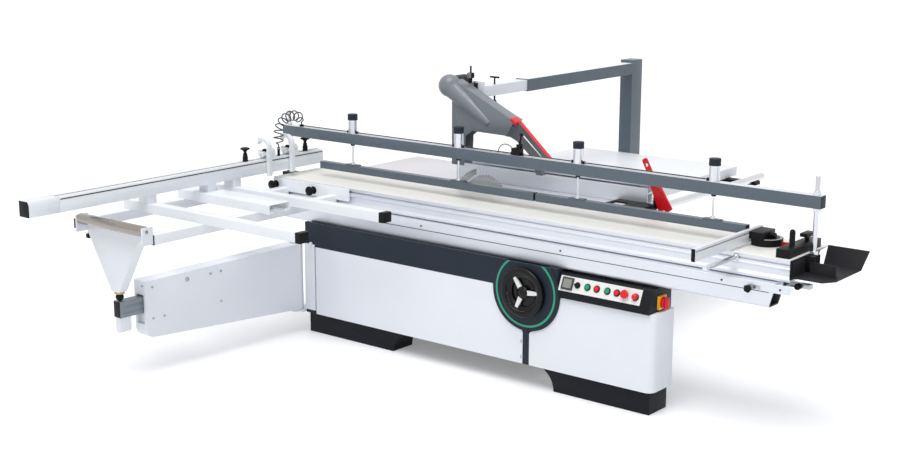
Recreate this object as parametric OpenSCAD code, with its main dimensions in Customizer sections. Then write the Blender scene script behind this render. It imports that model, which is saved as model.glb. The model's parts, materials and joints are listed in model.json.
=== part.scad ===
// Sliding table saw with scoring blade, overhead guard and pneumatic hold-down beam.
// Millimetres. X runs along the sliding table towards the operator, Y from the sliding
// table across the blade to the rip fence, Z up. The origin is on the floor, in the plane
// of the saw blade and half way along the sliding table.

/* [Sliding table] */
// Height of the table surfaces above the floor
table_z = 850; // [830:1:900]
// Length of the sliding carriage
carriage_l = 3200; // [3000:10:3400]
// Width of the sliding carriage
carriage_w = 385; // [375:1:400]
// Height of the carriage section
carriage_h = 100; // [94:1:106]
// Wall of the carriage section
carriage_wall = 8; // [6:0.5:10]
// Gap between the carriage and the plane of the saw blade
blade_gap = 10; // [9:0.5:13]
// Thickness of the carriage lip beside the blade
lip_t = 8; // [6:0.5:9]
// Width of the carriage lip beside the blade
lip_w = 75; // [70:1:85]
// Width of the lengthwise slot in the front of the carriage
slot_w = 9; // [7:0.5:12]
// Thickness of the plates on the carriage ends
end_plate_t = 8; // [5:0.5:12]

/* [Fixed rail] */
// Left end of the fixed rail
rail_x0 = -1560; // [-1600:5:-1500]
// Right end of the fixed rail
rail_x1 = 1633; // [1600:1:1660]
// How far the rail stands out in front of the carriage
rail_out = 45; // [35:1:52]
// Width of the fixed rail
rail_w = 190; // [175:1:195]
// Height of the rail's upper flange
flange_h = 40; // [34:1:44]
// Height of the rail's lower box
rail_box_h = 74; // [66:1:78]
// Depth of the rail's lower box
rail_box_d = 100; // [90:1:120]
// Diameter of the round guide ways
way_d = 20; // [16:1:24]

/* [Cabinet] */
// Left end of the front cabinet
cabinet_x0 = -1290; // [-1310:1:-1270]
// Right end of the front cabinet
cabinet_x1 = 971; // [960:1:1000]
// How far the cabinet front stands out in front of the carriage
cabinet_out = 81.5; // [78:0.5:90]
// Height of the plinth
plinth_h = 118; // [100:1:130]
// Length of the left foot of the plinth on the floor
foot_left_l = 625; // [560:5:680]
// Length of the right foot of the plinth on the floor
foot_right_l = 552; // [500:5:600]
// Upper edge of the white front panels
panel_top = 504; // [490:1:512]
// Depth of the folded front panels
panel_d = 21.5; // [18:0.5:26]
// Sheet thickness of the cabinet
sheet = 3; // [2:0.5:4]
// Corner radius of the right front panel
corner_r = 40; // [25:1:50]
// Width of the dark strip between the front panels
strip_w = 40; // [34:1:46]

/* [Saw body] */
// Left end of the saw body
body_x0 = -960; // [-990:5:-930]
// Right end of the saw body
body_x1 = 230; // [200:5:250]
// Far side of the saw body
body_y1 = 630; // [600:5:634]
// Wall of the saw body
body_wall = 6; // [4:0.5:8]
// Outside diameter of the dust outlet
dust_d = 120; // [100:1:125]
// Length of the dust outlet
dust_l = 90; // [60:1:110]

/* [Tables] */
// Thickness of the cast tables
table_t = 45; // [40:1:50]
// Right end of the main table
main_x1 = 294; // [285:1:310]
// Length of the main table
main_l = 1199; // [1180:1:1220]
// Length of the rear table
rear_l = 500; // [450:5:550]
// Width of the cast tables
main_w = 627; // [615:1:640]
// Length of the side table
side_l = 1126; // [1100:1:1150]
// Width of the side table
side_w = 939; // [900:1:980]
// Thickness of the side table
side_t = 55; // [50:1:60]
// Gap between the plane of the blade and the table insert
insert_gap = 8; // [7:0.5:10]
// Thickness of the table insert
insert_t = 8; // [6:0.5:9]

/* [Saw unit] */
// Diameter of the saw blade
blade_d = 315; // [290:1:320]
// Thickness of the saw blade
blade_t = 3.2; // [2.6:0.1:3.6]
// Place of the saw arbor from the left end of the main table
blade_in = 520; // [505:1:535]
// Depth of the saw arbor below the table with the blade fully up
arbor_drop = 62.5; // [61:0.5:66]
// Number of teeth on the saw blade
blade_teeth = 48; // [36:4:60]
// Diameter of the scoring blade
scoring_d = 120; // [110:1:122]
// Diameter of the arbor
arbor_d = 40; // [34:1:44]
// Diameter of the motor
motor_d = 200; // [180:1:206]
// Length of the motor
motor_l = 240; // [200:1:260]
// Distance from the arbor down to the motor
belt_drop = 267; // [255:1:275]
// Travel of the saw arbor
lift = 95; // [85:1:98]
// Largest tilt of the blade in degrees
tilt = 45; // [40:1:46]
// Running clearance of shafts in their bores
run_gap = 0.05; // [0.03:0.01:0.08]
// Clearance between sliding faces
slide_gap = 0.4; // [0.3:0.1:0.6]

/* [Handwheel and controls] */
// Place of the handwheel along the cabinet
wheel_x = 240; // [232:1:248]
// Height of the handwheel
wheel_z = 497; // [486:1:506]
// Diameter of the handwheel
wheel_d = 252; // [230:1:270]
// Outside diameter of the green ring
ring_d = 364; // [345:1:375]
// Width of the green ring
ring_w = 11; // [8:0.5:13]
// Left end of the control box
box_x0 = 422; // [418:1:432]
// Right end of the control box
box_x1 = 952; // [944:1:964]
// Height of the control box
box_h = 116; // [110:1:122]
// Diameter of a push button
button_d = 25; // [20:1:28]
// Travel of a push button
button_travel = 4; // [2:0.5:5]

/* [Overhead guard] */
// Top of the guard post
post_top = 1430; // [1400:5:1480]
// Width of the guard post and arm
post_w = 86; // [78:1:92]
// Depth of the guard post
post_d = 115; // [90:1:130]
// Height of the guard arm
arm_h = 69; // [64:1:80]
// Wall of the guard arm
arm_wall = 5; // [4:0.5:7]
// Width of the hood across the blade
hood_w = 76; // [70:1:90]
// Wall of the hood
hood_wall = 5; // [4:0.5:8]
// Outside diameter of the hood's dust port
port_d = 124; // [110:1:130]

/* [Rip fence] */
// Diameter of the rip fence bar
bar_d = 40; // [36:1:44]
// Place of the rip fence bar along the table
bar_x = 472; // [465:1:480]
// Length of the rip fence
rip_l = 1264; // [1200:1:1300]
// Height of the rip fence
rip_h = 120; // [100:1:128]
// Thickness of the rip fence
rip_t = 50; // [40:1:60]
// Distance of the rip fence from the plane of the blade
rip_y = 246; // [240:1:300]

/* [Hold-down beam] */
// Underside of the clamp beam
beam_z = 1061; // [1050:1:1080]
// Width of the clamp beam
beam_w = 52; // [48:1:60]
// Height of the clamp beam
beam_h = 58; // [50:1:64]
// Distance of the beam's middle from the front of the carriage
beam_in = 182; // [170:1:190]
// Height of the clamp posts above the table
clamp_post_h = 353; // [340:1:380]
// Diameter of the clamp posts
clamp_post_d = 22; // [18:1:26]
// Diameter of the air cylinders
cylinder_d = 50; // [46:1:56]
// Spacing of the air cylinders
cylinder_pitch = 758; // [740:1:765]
// Width and height of the hold-down pads
pad_w = 40; // [36:1:46]
// Height of the raised pads above the table
pad_lift = 47; // [42:1:60]
// Diameter of the curly air hose
hose_d = 7; // [6:0.5:8]
// Radius of the curls of the air hose
curl_r = 27; // [22:1:30]
// Number of curls of the air hose
curls = 10; // [8:1:12]

/* [Crosscut frame] */
// Height of the upper frame tubes
tube_h = 50; // [46:1:52]
// Width of the frame tubes
tube_w = 60; // [50:1:64]
// Wall of the frame tubes
tube_wall = 3; // [2:0.5:4]
// Width of the frame's channel
channel_w = 148; // [130:1:160]
// Left ends of the upper frame tubes
frame_x0 = -1735; // [-1760:1:-1725]
// Outermost edge of the frame, from the front of the carriage
frame_out = 1295; // [1270:1:1300]
// Diameter of the load roller
roller_d = 54; // [44:1:58]
// Length of the load roller
roller_l = 495; // [470:1:500]

/* [Crosscut fence] */
// Working face of the crosscut fence
fence_x = -1532; // [-1538:1:-1524]
// Thickness of the crosscut fence
fence_t = 80; // [74:1:84]
// Height of the crosscut fence
fence_h = 79; // [74:1:88]
// Gap under the crosscut fence
fence_gap = 43; // [36:1:48]
// Length of the crosscut fence
fence_l = 1849; // [1790:1:1870]
// Length of the fence extension's head
extension_l = 170; // [140:1:200]
// Height of the mitre fence
mitre_h = 58; // [50:1:70]
// Length of the mitre fence
mitre_l = 625; // [600:1:640]

/* [Swing arm] */
// Height of the swing arm's upper edge
swing_top = 518; // [512:1:522]
// Height of the swing arm at its pivot
swing_h = 379; // [370:1:384]
// Length of the swing arm
swing_l = 1041; // [1000:1:1050]
// Width of the swing arm
swing_w = 95; // [88:1:98]
// Angle of the swing arm at rest in degrees
swing_rest = 4.3; // [3.5:0.1:5]
// Width of the telescopic tube
scope_w = 55; // [50:1:58]
// Height of the telescopic tube
scope_h = 84; // [78:1:88]
// Diameter of the ball that rests on the telescopic tube
ball_d = 42; // [38:1:48]

/* [Hidden] */
$fn = 48;
eps = 1;
white = [0.88, 0.90, 0.94];
dark = [0.20, 0.23, 0.27];
steel = [0.62, 0.64, 0.67];
blue_grey = [0.33, 0.38, 0.42];
black = [0.09, 0.09, 0.10];
iron = [0.78, 0.78, 0.81];
chrome = [0.80, 0.81, 0.83];
red = [0.84, 0.10, 0.13];
green = [0.00, 0.56, 0.42];

// Carriage and rail
car_x = carriage_l / 2;
car_y1 = -blade_gap;
car_y0 = car_y1 - carriage_w;
car_z0 = table_z - carriage_h;
way_sink = way_d * 0.3;
way_z = car_z0 - way_sink;
way_y = [car_y0 + 35, car_y0 + 105];
slot_z = table_z - 22;
slot_d = 14;
front_dip = 9;
band_h = 32;
band_dip = 4;
rail_y0 = car_y0 - rail_out;
rail_y1 = rail_y0 + rail_w;
rail_top = car_z0 - 6;
rail_mid = rail_top - flange_h;
rail_z0 = rail_mid - rail_box_h;
rail_wall = 6;

// Cabinet
cab_y0 = car_y0 - cabinet_out;
frame_y0 = cab_y0 + panel_d;
cab_y1 = car_y0 + 105;
plinth_y0 = cab_y0 + 28;
foot_wall = 4;
strip_x0 = wheel_x - 20;
band_top = rail_z0 + 10;
strip_x1 = strip_x0 + strip_w;
left_panel_x0 = cabinet_x0 + 77;
frame_x1 = cabinet_x1 - 26;
disc_r = ring_d / 2 + 21;
disc_out = 10;
panel_round = 18;
disc_y0 = cab_y0 - disc_out;
rim_w = 30;
rim_t = 34;
wheel_y = disc_y0 - 4 - rim_t / 2;
wheel_shaft_d = 24;

// Control box: a slanted face between a short apron and the roof
apron = 26;
slant = 36;
box_y0 = cab_y0 - 14;
box_top = panel_top + box_h;
face_z0 = panel_top + apron;
face_z1 = box_top - 8;
face_a = atan(slant / (face_z1 - face_z0));
face_l = sqrt(pow(slant, 2) + pow(face_z1 - face_z0, 2));
button_x = [597, 650, 710, 763];
stop_x = 813;
selector_x = 540;
button_s = face_l * 0.56;
button_gap = 0.4;
isolator_y = car_y0 + 10;
isolator_z = panel_top + 44;
isolator_w = 64;
isolator_t = 12;

// Tables and saw body
table_z0 = table_z - table_t;
main_x0 = main_x1 - main_l;
blade_x = main_x0 + blade_in;
table_y0 = insert_gap;
table_y1 = table_y0 + main_w;
rear_x1 = main_x0 - 1;
rear_x0 = rear_x1 - rear_l;
side_x1 = main_x1;
side_x0 = side_x1 - side_l;
side_y0 = table_y1 + 1;
side_y1 = side_y0 + side_w;
side_z0 = table_z - side_t;
insert_x = [blade_x - 255, blade_x + 345];
insert_w = 175;
rebate = 10;
cover_x = [-720, -120];
stay_w = 40;
stay_x = [cover_x[0] - 60, cover_x[1] + 20];
toe_y = -150;
cover_z = [140, 700];
cover_t = 5;
dust_x = -240;
dust_z = 260;
dust_wall = 3;

// Saw unit, placed with the blade upright and fully raised
arbor_z = table_z - arbor_drop;
motor_z = arbor_z - belt_drop;
flange_r = 35;
flange_in = 10;
nut_out = 22;
housing_r = 38;
housing_y = [blade_t + flange_in + 1, 140];
column_d = 30;
column_y = 100;
column_x = [blade_x - 175, blade_x + 175];
plate_y = [128, 140];
bush_z = [arbor_z - 147, arbor_z - 27];
cradle_x = [blade_x - 335, blade_x + 335];
cradle_t = 16;
cradle_bar_w = 50;
cradle_top = arbor_z + 3;
cradle_low = bush_z[0] - lift - 28;
belt_y = [146, 164];
arbor_pulley_r = 40;
motor_pulley_r = 60;
belt_t = 5;
motor_y0 = 190;
trunnion_r = 215;
tongue_w = 20;
sector_r = [150, 255];
sector_a = [-96, -26];
groove_a = [-93, -27];
tongue_a = [groove_a[0] + 1, groove_a[1] - tilt - 1];
hanger_t = 16;
hanger_gap = 4;
hanger_y1 = column_y + 30;
hanger_round = 140;
scoring_x = blade_x + 235;
scoring_z = table_z - scoring_d / 2 + 2;
scoring_shaft_d = 20;
scoring_housing_r = 24;
knife_t = 2.8;
knife_gap = 6;
knife_top = 130;

// Overhead guard
post_x1 = blade_x - 70;
post_x0 = post_x1 - post_w;
post_y0 = side_y1;
post_foot = 150;
arm_z1 = post_top - 17;
arm_z0 = arm_z1 - arm_h;
arm_y0 = 475;
slider_y0 = 85;
slider_in = 460;
hood_y0 = -hood_w / 2 + blade_t / 2;
hood_y1 = hood_y0 + hood_w;
hood_low = table_z + 135;
hood_x0 = blade_x - 207;
hood_top = table_z + 595;
nose_x = blade_x + 213;
nose_z = table_z + 412;
tip_x = blade_x + 427;
tip_z = table_z + 226;
arch_z = table_z + 326;
port_x = blade_x - 233;
port_z = table_z + 560;
stem_w = 60;
stem_x0 = blade_x - 177;

// Rip fence
rip_x1 = 481;
rip_x0 = rip_x1 - rip_l;
bar_z = table_z - 35;
bar_y = [105, side_y1 - 30];
casting_x = [305, 540];
casting_y = [25, rip_y - slide_gap];
casting_top = table_z + 12;
stick_y = [casting_y[1] - 28, casting_y[1] - 18];
stick_top = [470, table_z + 247];
stick_a = -61.9;
stick_hang = 150;
peg_d = 12;
peg_x = stick_top[0] + stick_hang * cos(stick_a);
peg_z = stick_top[1] + stick_hang * sin(stick_a);
bracket_y = [160, side_y1 - 110];
bracket_w = 60;
bracket_x0 = body_x1 + 6;

// Hold-down beam
beam_y = car_y0 + beam_in;
post_left_x = -car_x - 60;
post_right_x = car_x + 25;
beam_x0 = post_left_x - 30;
beam_x1 = post_right_x + 30;
beam_top = beam_z + beam_h;
beam_wall = 4;
cylinder_x0 = -1161;
cylinder_x = [for (i = [0:3]) cylinder_x0 + i * cylinder_pitch];
cylinder_h = 75;
cap_h = 33;
rod_d = 10;
piston_z = beam_top + 52;
pad_z0 = table_z + pad_lift;
pad_z1 = pad_z0 + pad_w;
pad_left_x = [-1400, 99];
pad_right_x = [111, 1294];
valve_x = -20;
valve_lever_z = beam_top + 62;

// Air hose: curls round an arch that rises from the beam and drops to the fence
hose_x = fence_x - 30;
hose_fit_h = 12;
hose_end_h = 50;
hose_end_y = car_y0 - 6;
hose_z0 = beam_top + hose_fit_h;
hose_z1 = table_z + fence_gap + fence_h + hose_end_h;
arch_lift = 76;
arch_reach = 96;
arch_fall = 60;

// Crosscut frame
low_z1 = table_z - tube_h;
low_z0 = low_z1 - tube_h;
frame_y_out = car_y0 - frame_out;
frame_tube_x1 = -466;
frame_cap_l = 32;
tube_cap_t = 5;
tube_a_y = car_y0 - 980;
tube_b_y = car_y0 - 385;
channel_y = car_y0 - 610;
channel_x1 = fence_x + 512;
cross_x = [frame_x0, fence_x + 362];
mount_t = 12;
mount_x = [fence_x - 72, fence_x + 512];
mount_knob_x = [mount_x[0] + 22, mount_x[0] + 318];
mount_knob_z = table_z - 42;
mount_tube_x = mount_x[0] + 62;
roller_x0 = fence_x - 88;
roller_x1 = roller_x0 + roller_l;
roller_y = frame_y_out - 45;
roller_z = table_z - roller_d / 2;
roller_plate_t = 10;
roller_axle_d = 16;

// Crosscut fence
fence_x0 = fence_x - fence_t;
fence_z0 = table_z + fence_gap;
fence_z1 = fence_z0 + fence_h;
fence_y1 = car_y0 + 325;
fence_y0 = fence_y1 - fence_l;
fence_wall = 5;
tongue_l = 760;
stop_y = [car_y0 - 122, car_y0 + 58];
stop_t = 26;
stop_pin_d = 16;
stop_z = fence_z1 + 30;
stop_axis_x = fence_x0 + fence_t / 2;
knob_y = [car_y0 - 255, car_y0 + 217];
mitre_x = 1309;
mitre_t = 20;
mitre_y0 = car_y0 - 335;
mitre_pivot_y = car_y0 + 230;
mitre_z0 = table_z + 14;

// Swing arm, in its own frame with the pivot at the origin and the arm along -Y
swing_x = cabinet_x0 - 55;
swing_y = cab_y0 - 30.5;
swing_z0 = swing_top - swing_h;
swing_end_z0 = swing_z0 + 54;
swing_fall = 25;
swing_wall = 4;
swing_pin_d = 24;
lug_t = 14;
lug_gap = 4;
hinge_t = 10;
scope_z1 = swing_top - 108;
scope_z0 = scope_z1 - scope_h;
scope_y0 = -(swing_l + 140);
scope_y1 = -300;
ball_gap = 0.5;
ball_z = scope_z1 + ball_gap + ball_d / 2;
ball_y = frame_y_out + 25;
ball_x = swing_x - tan(swing_rest) * (swing_y - ball_y);

// Shared shapes

// Limits of a width centred on a place
function span(middle, width) = [middle - width / 2, middle + width / 2];

// Box between two limits on each axis
module block(x, y, z) {
  translate([x[0], y[0], z[0]]) cube([x[1] - x[0], y[1] - y[0], z[1] - z[0]]);
}

// Round bars along each axis
module rod_x(x, y, z, d) {
  translate([x[0], y, z]) rotate([0, 90, 0]) cylinder(h = x[1] - x[0], d = d);
}
module rod_y(x, y, z, d) {
  translate([x, y[1], z]) rotate([90, 0, 0]) cylinder(h = y[1] - y[0], d = d);
}
module rod_z(x, y, z, d) {
  translate([x, y, z[0]]) cylinder(h = z[1] - z[0], d = d);
}

// Outlines drawn in (Y, Z) run along X, and outlines drawn in (X, Z) run along Y
module run_x(x) {
  translate([x[0], 0, 0]) rotate([90, 0, 90]) linear_extrude(x[1] - x[0]) children();
}
module run_y(y) {
  translate([0, y[1], 0]) rotate([90, 0, 0]) linear_extrude(y[1] - y[0]) children();
}
module run_z(z) {
  translate([0, 0, z[0]]) linear_extrude(z[1] - z[0]) children();
}

// Rectangle between two limits
module rect(a, b) {
  translate([a[0], b[0]]) square([a[1] - a[0], b[1] - b[0]]);
}

// Rectangular tubes along X and along Y
module tube_x(x, y, z, wall) {
  run_x(x) difference() {
    rect(y, z);
    rect([y[0] + wall, y[1] - wall], [z[0] + wall, z[1] - wall]);
  }
}
module tube_y(x, y, z, wall) {
  run_y(y) difference() {
    rect(x, z);
    rect([x[0] + wall, x[1] - wall], [z[0] + wall, z[1] - wall]);
  }
}

// Points on an arc in the drawing plane
function arc(centre, r, from, to, n) =
  [for (i = [0:n]) centre + r * [cos(from + (to - from) * i / n), sin(from + (to - from) * i / n)]];

// Sector of a ring round the tilt axis, which lies in the table surface
module tilt_sector(x, r, a) {
  far = 2 * r[1];
  run_x(x) translate([0, table_z]) intersection() {
    difference() {
      circle(r = r[1]);
      circle(r = r[0]);
    }
    polygon([[0, 0], far * [cos(a[0]), sin(a[0])], 1.3 * far * [cos((a[0] + a[1]) / 2), sin((a[0] + a[1]) / 2)],
      far * [cos(a[1]), sin(a[1])]]);
  }
}

// Round black knob standing up on its stem
module knob(h, d) {
  cylinder(h = h * 0.55, d = d * 0.42);
  translate([0, 0, h * 0.5]) cylinder(h = h * 0.5, d = d * 0.76);
  for (i = [0:4]) rotate([0, 0, 72 * i]) translate([d * 0.33, 0, h * 0.54]) cylinder(h = h * 0.42, d = d * 0.34);
}

// Frame on the slanted face of the control box: x along it, s up it, +Z out of it
module on_face(x, s) {
  translate([x, box_y0 + s * sin(face_a), face_z0 + s * cos(face_a)])
    rotate([90 - face_a, 0, 0]) children();
}

// Frame of the swing arm
module at_swing() {
  translate([swing_x, swing_y, 0]) rotate([0, 0, -swing_rest]) children();
}

// Base and cabinet

// One plinth foot with a coved inner end
module foot(x, cove_x) {
  difference() {
    block(x, [plinth_y0, cab_y1], [0, plinth_h]);
    rod_y(cove_x, [plinth_y0 - eps, cab_y1 + eps], 0, 2 * plinth_h);
    difference() {
      block([x[0] + foot_wall, x[1] - foot_wall], [plinth_y0 + foot_wall, cab_y1 - foot_wall],
        [foot_wall, plinth_h - foot_wall]);
      rod_y(cove_x, [plinth_y0, cab_y1], 0, 2 * (plinth_h + foot_wall));
    }
  }
}

module plinth() {
  color(black) {
    foot([cabinet_x0, cabinet_x0 + foot_left_l + plinth_h], cabinet_x0 + foot_left_l + plinth_h);
    foot([frame_x1 - foot_right_l - plinth_h, frame_x1], frame_x1 - foot_right_l - plinth_h);
  }
}

module front_frame() {
  color(dark) difference() {
    union() {
      block([cabinet_x0, box_x0], [frame_y0, cab_y1], [plinth_h, rail_z0]);
      block([box_x0, frame_x1], [frame_y0, cab_y1], [plinth_h, panel_top]);
      block([cabinet_x0, box_x0], [cab_y0, frame_y0 + eps], [panel_top, band_top]);
      block([cabinet_x0, left_panel_x0], [cab_y0, frame_y0], [plinth_h, panel_top]);
      block([strip_x0, strip_x1], [cab_y0, frame_y0], [plinth_h, panel_top]);
      rod_y(wheel_x, [disc_y0, frame_y0], wheel_z, 2 * disc_r - 4);
    }
    block([cabinet_x0 + sheet, box_x0 - sheet], [frame_y0 + sheet, cab_y1 + eps],
      [plinth_h + sheet, rail_z0 - 2 * sheet]);
    block([box_x0 - 2 * sheet, frame_x1 - sheet], [frame_y0 + sheet, cab_y1 + eps],
      [plinth_h + sheet, panel_top - sheet]);
    block([cabinet_x0 + sheet, box_x0 - sheet], [cab_y0 + sheet, frame_y0 + sheet + eps],
      [panel_top + sheet, rail_z0 - 2 * sheet]);
    disc_top();
    rod_ring(wheel_x, [disc_y0 + 8, frame_y0 + sheet + eps], wheel_z, 2 * disc_r - 24, 70);
    rod_y(wheel_x, [disc_y0 - eps, frame_y0 + sheet + eps], wheel_z, wheel_shaft_d + 2 * run_gap);
    rod_y(wheel_x, [disc_y0 - eps, disc_y0 + 3], wheel_z, ring_d);
  }
  color(dark) difference() {
    rod_ring(wheel_x, [disc_y0, disc_y0 + 3], wheel_z, ring_d - 2 * ring_w, wheel_shaft_d + 2 * run_gap);
    disc_top();
  }
}

// What the rail's lower edge cuts off the disc and its ring
module disc_top() {
  block([wheel_x - disc_r, wheel_x + disc_r], [disc_y0 - 4, frame_y0 + 2 * eps],
    [band_top, wheel_z + disc_r + eps]);
}

// Ring round an axis along Y
module rod_ring(x, y, z, d_out, d_in) {
  difference() {
    rod_y(x, y, z, d_out);
    rod_y(x, [y[0] - eps, y[1] + eps], z, d_in);
  }
}

module wheel_ring() {
  color(green) difference() {
    rod_ring(wheel_x, [disc_y0 - 2, disc_y0 + 3], wheel_z, ring_d, ring_d - 2 * ring_w);
    disc_top();
  }
}

// Round clearance cut in the front panels
module wheel_cut() {
  rod_y(wheel_x, [cab_y0 - eps, frame_y0 + eps], wheel_z, 2 * disc_r);
}

// Rounds a panel corner at (x, z): dir is -1 on the left panel, 1 on the right
module corner_cut(x, z, r, dir) {
  run_y([cab_y0 - eps, frame_y0 + eps]) difference() {
    rect([x - r, x + r], [z - r, z + r]);
    translate([x + dir * r, z - r]) circle(r = r);
    rect(dir < 0 ? [x - 2 * r, x - r] : [x + r, x + 2 * r], [z - 2 * r, z + 2 * r]);
    rect([x - 2 * r, x + 2 * r], [z - 2 * r, z - r]);
  }
}

// Where the wheel cut meets the upper edge of the panels and the dark strip
function cut_at_top() = sqrt(pow(disc_r, 2) - pow(panel_top - wheel_z, 2));
function cut_at(x) = wheel_z - sqrt(pow(disc_r, 2) - pow(x - wheel_x, 2));

module left_panel() {
  color(white) difference() {
    block([left_panel_x0, strip_x0], [cab_y0, frame_y0], [plinth_h, panel_top]);
    block([left_panel_x0 + sheet, strip_x0 - sheet], [cab_y0 + sheet, frame_y0 + eps],
      [plinth_h + sheet, panel_top - sheet]);
    wheel_cut();
    corner_cut(wheel_x - cut_at_top(), panel_top, panel_round, -1);
    corner_cut(strip_x0, cut_at(strip_x0), panel_round, -1);
  }
}

// Plan of the right panel, which wraps round the front corner
module right_plan(inset) {
  rect([strip_x1 + inset, cabinet_x1 - corner_r], [cab_y0 + inset, frame_y0 + eps]);
  rect([frame_x1 - eps, cabinet_x1 - inset], [cab_y0 + corner_r, cab_y1]);
  intersection() {
    translate([cabinet_x1 - corner_r, cab_y0 + corner_r]) circle(r = corner_r - inset);
    rect([cabinet_x1 - corner_r - eps, cabinet_x1], [cab_y0, cab_y0 + corner_r + eps]);
  }
}

module right_panel() {
  color(white) difference() {
    run_z([plinth_h, panel_top]) difference() {
      right_plan(0);
      rect([strip_x1 - eps, frame_x1], [frame_y0, cab_y1 + eps]);
    }
    run_z([plinth_h + sheet, panel_top - sheet]) right_plan(sheet);
    wheel_cut();
    corner_cut(wheel_x + cut_at_top(), panel_top, panel_round, 1);
    corner_cut(strip_x1, cut_at(strip_x1), panel_round, 1);
  }
}

// Section of the control box in (Y, Z), drawn in by an inset
module box_section(inset) {
  polygon([[box_y0 + inset, panel_top - (inset > 0 ? eps : 0)],
    [box_y0 + inset, face_z0],
    [box_y0 + slant + inset, face_z1 - inset / 2],
    [box_y0 + slant + 12, box_top - inset],
    [cab_y1 - inset, box_top - inset],
    [cab_y1 - inset, panel_top - (inset > 0 ? eps : 0)]]);
}

module control_box() {
  color(black) difference() {
    run_x([box_x0, box_x1]) box_section(0);
    run_x([box_x0 + sheet, box_x1 - sheet]) box_section(sheet);
    rod_y(wheel_x, [box_y0 - eps, frame_y0 + eps], wheel_z, 2 * disc_r);
    for (x = concat(button_x, [stop_x, selector_x])) on_face(x, button_s)
      translate([0, 0, -20]) cylinder(h = 40, d = button_d + 2 * button_gap);
    rod_x([box_x1 - 2 * sheet, box_x1 + eps], isolator_y, isolator_z, wheel_shaft_d + 2 * button_gap);
  }
  color([0.94, 0.66, 0.08]) difference() {
    block([box_x1, box_x1 + isolator_t], span(isolator_y, isolator_w),
      span(isolator_z, isolator_w));
    rod_x([box_x1 - eps, box_x1 + isolator_t + eps], isolator_y, isolator_z,
      wheel_shaft_d + 2 * button_gap);
  }
}

// Push button with its plunger in the box wall
module button(x, tint) {
  color(tint) on_face(x, button_s) {
    translate([0, 0, -12]) cylinder(h = 12 + button_travel + 5, d = button_d);
    translate([0, 0, -15]) cylinder(h = 4, d = button_d + 8);
  }
}
module start_saw() { button(button_x[0], green); }
module stop_saw() { button(button_x[1], red); }
module start_scoring() { button(button_x[2], green); }
module stop_scoring() { button(button_x[3], red); }

module emergency_stop() {
  color(red) on_face(stop_x, button_s) {
    translate([0, 0, -12]) cylinder(h = 20, d = button_d);
    translate([0, 0, 8]) cylinder(h = 12, d1 = button_d + 8, d2 = button_d + 18);
    translate([0, 0, 20]) cylinder(h = 5, d1 = button_d + 18, d2 = button_d + 8);
    translate([0, 0, -15]) cylinder(h = 4, d = button_d + 8);
  }
}

module selector_knob() {
  color(black) on_face(selector_x, button_s) {
    translate([0, 0, -12]) cylinder(h = 16, d = button_d);
    translate([0, 0, 1]) cylinder(h = 5, d = button_d + 6);
    translate([-button_d / 2, -4, 5]) cube([button_d, 8, 12]);
  }
}

module isolator_knob() {
  color(red) {
    rod_x([box_x1 - 12, box_x1 + isolator_t + 6], isolator_y, isolator_z, wheel_shaft_d);
    rod_x([box_x1 + isolator_t + 1, box_x1 + isolator_t + 14], isolator_y, isolator_z, isolator_w * 0.88);
    block([box_x1 + isolator_t + 13, box_x1 + isolator_t + 32], [isolator_y - 7, isolator_y + 7],
      [isolator_z - isolator_w * 0.42, isolator_z + isolator_w * 0.42]);
  }
}

// Dished wheel: a deep rounded rim, a domed hub and three tapered spokes
module handwheel() {
  hub_d = 66;
  rim_r = wheel_d / 2;
  round = 10;
  translate([wheel_x, wheel_y, wheel_z]) rotate([90, 0, 0]) {
    color(black) {
      rotate_extrude() translate([rim_r - rim_w / 2, 0]) {
        square([rim_w - 2 * round, rim_t], center = true);
        square([rim_w, rim_t - 2 * round], center = true);
        for (x = [-1, 1]) for (y = [-1, 1])
          translate([x * (rim_w / 2 - round), y * (rim_t / 2 - round)]) circle(r = round);
      }
      translate([0, 0, -rim_t / 2]) cylinder(h = rim_t * 0.6, d = hub_d);
      translate([0, 0, rim_t * 0.1]) cylinder(h = rim_t * 0.3, d1 = hub_d, d2 = hub_d * 0.6);
    }
    color(chrome) for (i = [0:2]) rotate([0, 0, 125 + 120 * i]) translate([0, 0, -6]) linear_extrude(11)
      polygon([[hub_d * 0.3, -13], [rim_r - rim_w / 2, -7], [rim_r - rim_w / 2, 7], [hub_d * 0.3, 13]]);
  }
  color(steel) rod_y(wheel_x, [wheel_y - 4, frame_y0 + 40], wheel_z, wheel_shaft_d);
}

// End wall outline of the saw body in (Y, Z)
module body_outline() {
  polygon([[toe_y, 0], [body_y1, 0], [body_y1, table_z0], [table_y0 + 2, table_z0],
    [table_y0 + 2, car_z0 - 14], [rail_y1 + 46, car_z0 - 14], [rail_y1 + 46, rail_z0 - 4],
    [cab_y1, rail_z0 - 4], [cab_y1, plinth_h], [toe_y, plinth_h]]);
}

module saw_body() {
  color(white) difference() {
    run_x([body_x0, body_x1]) body_outline();
    block([body_x0 + body_wall, body_x1 - body_wall], [cab_y1 - eps, body_y1 - body_wall],
      [body_wall, table_z + eps]);
    block([cover_x[0] + 20, cover_x[1] - 20], [body_y1 - body_wall - eps, body_y1 + eps],
      [cover_z[0] + 20, cover_z[1] - 20]);
  }
}

module body_cover() {
  color(white) difference() {
    union() {
      block(cover_x, [body_y1, body_y1 + cover_t], cover_z);
      rod_y(dust_x, [body_y1, body_y1 + cover_t + dust_l], dust_z, dust_d);
      for (i = [0:4]) block([cover_x[0] + 60, cover_x[0] + 240],
        [body_y1 + cover_t - eps, body_y1 + cover_t + 4], [cover_z[1] - 90 - 34 * i, cover_z[1] - 76 - 34 * i]);
    }
    rod_y(dust_x, [body_y1 - eps, body_y1 + cover_t + dust_l + eps], dust_z, dust_d - 2 * dust_wall);
  }
}

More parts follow.
